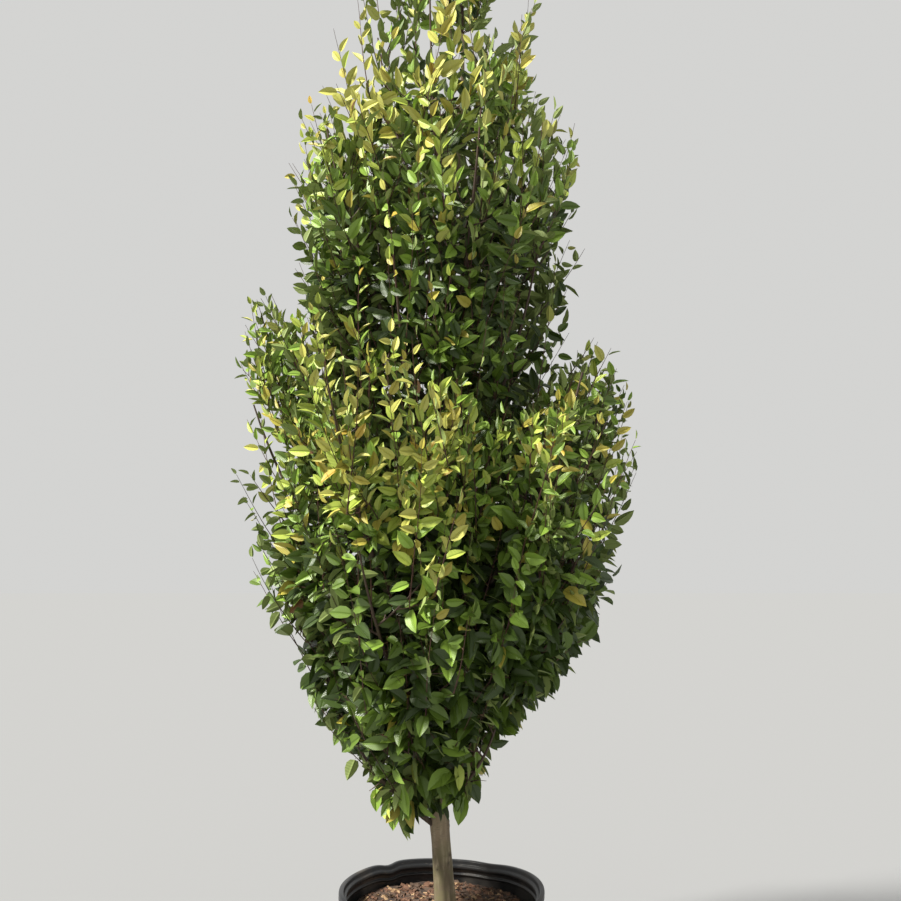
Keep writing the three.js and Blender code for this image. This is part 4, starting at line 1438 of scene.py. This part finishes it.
class HORNBEAM_OT_leaves(bpy.types.Operator):
    """Makes the leaves of each mass of foliage, with their tints dealt out by spray"""
    bl_idname = "hornbeam.leaves"
    bl_label = "Leaves"

    def execute(self, context):
        crown = context.scene.hornbeam_crown
        relief = crown.vein_relief
        finishes = [leaf_finish("leaf " + name.replace("_", " "), getattr(crown, name),
                                crown.leaf_roughness, relief) for name in TINTS]
        finishes += [leaf_finish("leaf underside", crown.underside, 0.62, -relief),
                     leaf_finish("turned leaf underside", crown.turned_underside, 0.62, -relief),
                     twig_finish("leaf stalk", crown.stalk, 0.6)]
        for place, mass in crown_growth(context.scene):
            mesh = leaves_mesh(mass.leaves)
            for finish in finishes:
                mesh.materials.append(finish)
            dress(fresh_object("leaves_" + place, mesh), "leaves", "foliage_" + place)
        return {"FINISHED"}


# ---- stage ----

FLOOR_HALF = 14.0
SKY_STRENGTH = 0.56
EXPOSURE = 0.4
KEY_FROM = (-0.75, -0.27, 0.95)
KEY_SPREAD = 11
KEY_COLOUR = (1.0, 0.97, 0.91)
CAMERA_PLACE = (0.0315, -3.31, 1.615)
CAMERA_LOOKS_UP = 2.06
CAMERA_LENS = 44
CAMERA_SENSOR = 36


class HORNBEAM_OT_stage(bpy.types.Operator):
    """Makes the floor, the lights and the camera"""
    bl_idname = "hornbeam.stage"
    bl_label = "Stage"

    def execute(self, context):
        scene, stage = context.scene, context.scene.hornbeam_stage
        corners = [(x * FLOOR_HALF, y * FLOOR_HALF, 0)
                   for x, y in ((-1, -1), (1, -1), (1, 1), (-1, 1))]
        floor = fresh_object("stage_floor", triangle_mesh("floor", corners, [(0, 1, 2), (0, 2, 3)]))
        material, tree, surface = new_finish("pale floor", 0.9, stage.floor)
        surface["Specular IOR Level"].default_value = 0.0
        bump(tree, surface, object_noise(tree, 30.0), 0.1, 0.001)
        floor.data.materials.append(material)
        scene.world = scene.world or bpy.data.worlds.new("Backdrop")
        scene.world.use_nodes = True
        sky = scene.world.node_tree.nodes["Background"].inputs
        sky["Color"].default_value = (*stage.sky, 1)
        sky["Strength"].default_value = SKY_STRENGTH
        key = bpy.data.lights.new("key light", "SUN")
        key.energy, key.angle, key.color = stage.key_strength, math.radians(KEY_SPREAD), KEY_COLOUR
        lamp = bpy.data.objects.new("key light", key)
        lamp.rotation_euler = Vector(KEY_FROM).to_track_quat("Z", "Y").to_euler()
        scene.view_settings.view_transform = "Standard"
        scene.view_settings.exposure = EXPOSURE
        camera = bpy.data.cameras.new("camera")
        camera.lens, camera.sensor_width = CAMERA_LENS, CAMERA_SENSOR
        holder = bpy.data.objects.new("camera", camera)
        holder.location = CAMERA_PLACE
        holder.rotation_euler = (math.radians(90 + CAMERA_LOOKS_UP), 0, 0)
        for thing in (lamp, holder):
            scene.collection.objects.link(thing)
        scene.camera = holder
        return {"FINISHED"}


class HORNBEAM_PT_panel(bpy.types.Panel):
    bl_label = "Columnar hornbeam"
    bl_idname = "HORNBEAM_PT_panel"
    bl_space_type = "VIEW_3D"
    bl_region_type = "UI"
    bl_category = "Hornbeam"

    def draw(self, context):
        for operator in OPERATORS:
            self.layout.operator(operator.bl_idname)
        for name, group in GROUPS.items():
            box = self.layout.box()
            for setting in group.__annotations__:
                box.prop(getattr(context.scene, name), setting)


OPERATORS = (HORNBEAM_OT_pot, HORNBEAM_OT_soil, HORNBEAM_OT_limbs, HORNBEAM_OT_twigs,
             HORNBEAM_OT_leaves, HORNBEAM_OT_stage)
CLASSES = (*GROUPS.values(), *OPERATORS, HORNBEAM_PT_panel)


def register():
    for item in CLASSES:
        bpy.utils.register_class(item)
    for name, group in GROUPS.items():
        setattr(bpy.types.Scene, name, PointerProperty(type=group))


def unregister():
    for name in GROUPS:
        delattr(bpy.types.Scene, name)
    for item in reversed(CLASSES):
        bpy.utils.unregister_class(item)


def main():
    register()
    bpy.ops.hornbeam.stage()
    bpy.ops.hornbeam.pot()
    bpy.ops.hornbeam.soil()
    bpy.ops.hornbeam.limbs()
    bpy.ops.hornbeam.twigs()
    bpy.ops.hornbeam.leaves()


if __name__ == "__main__":
    main()
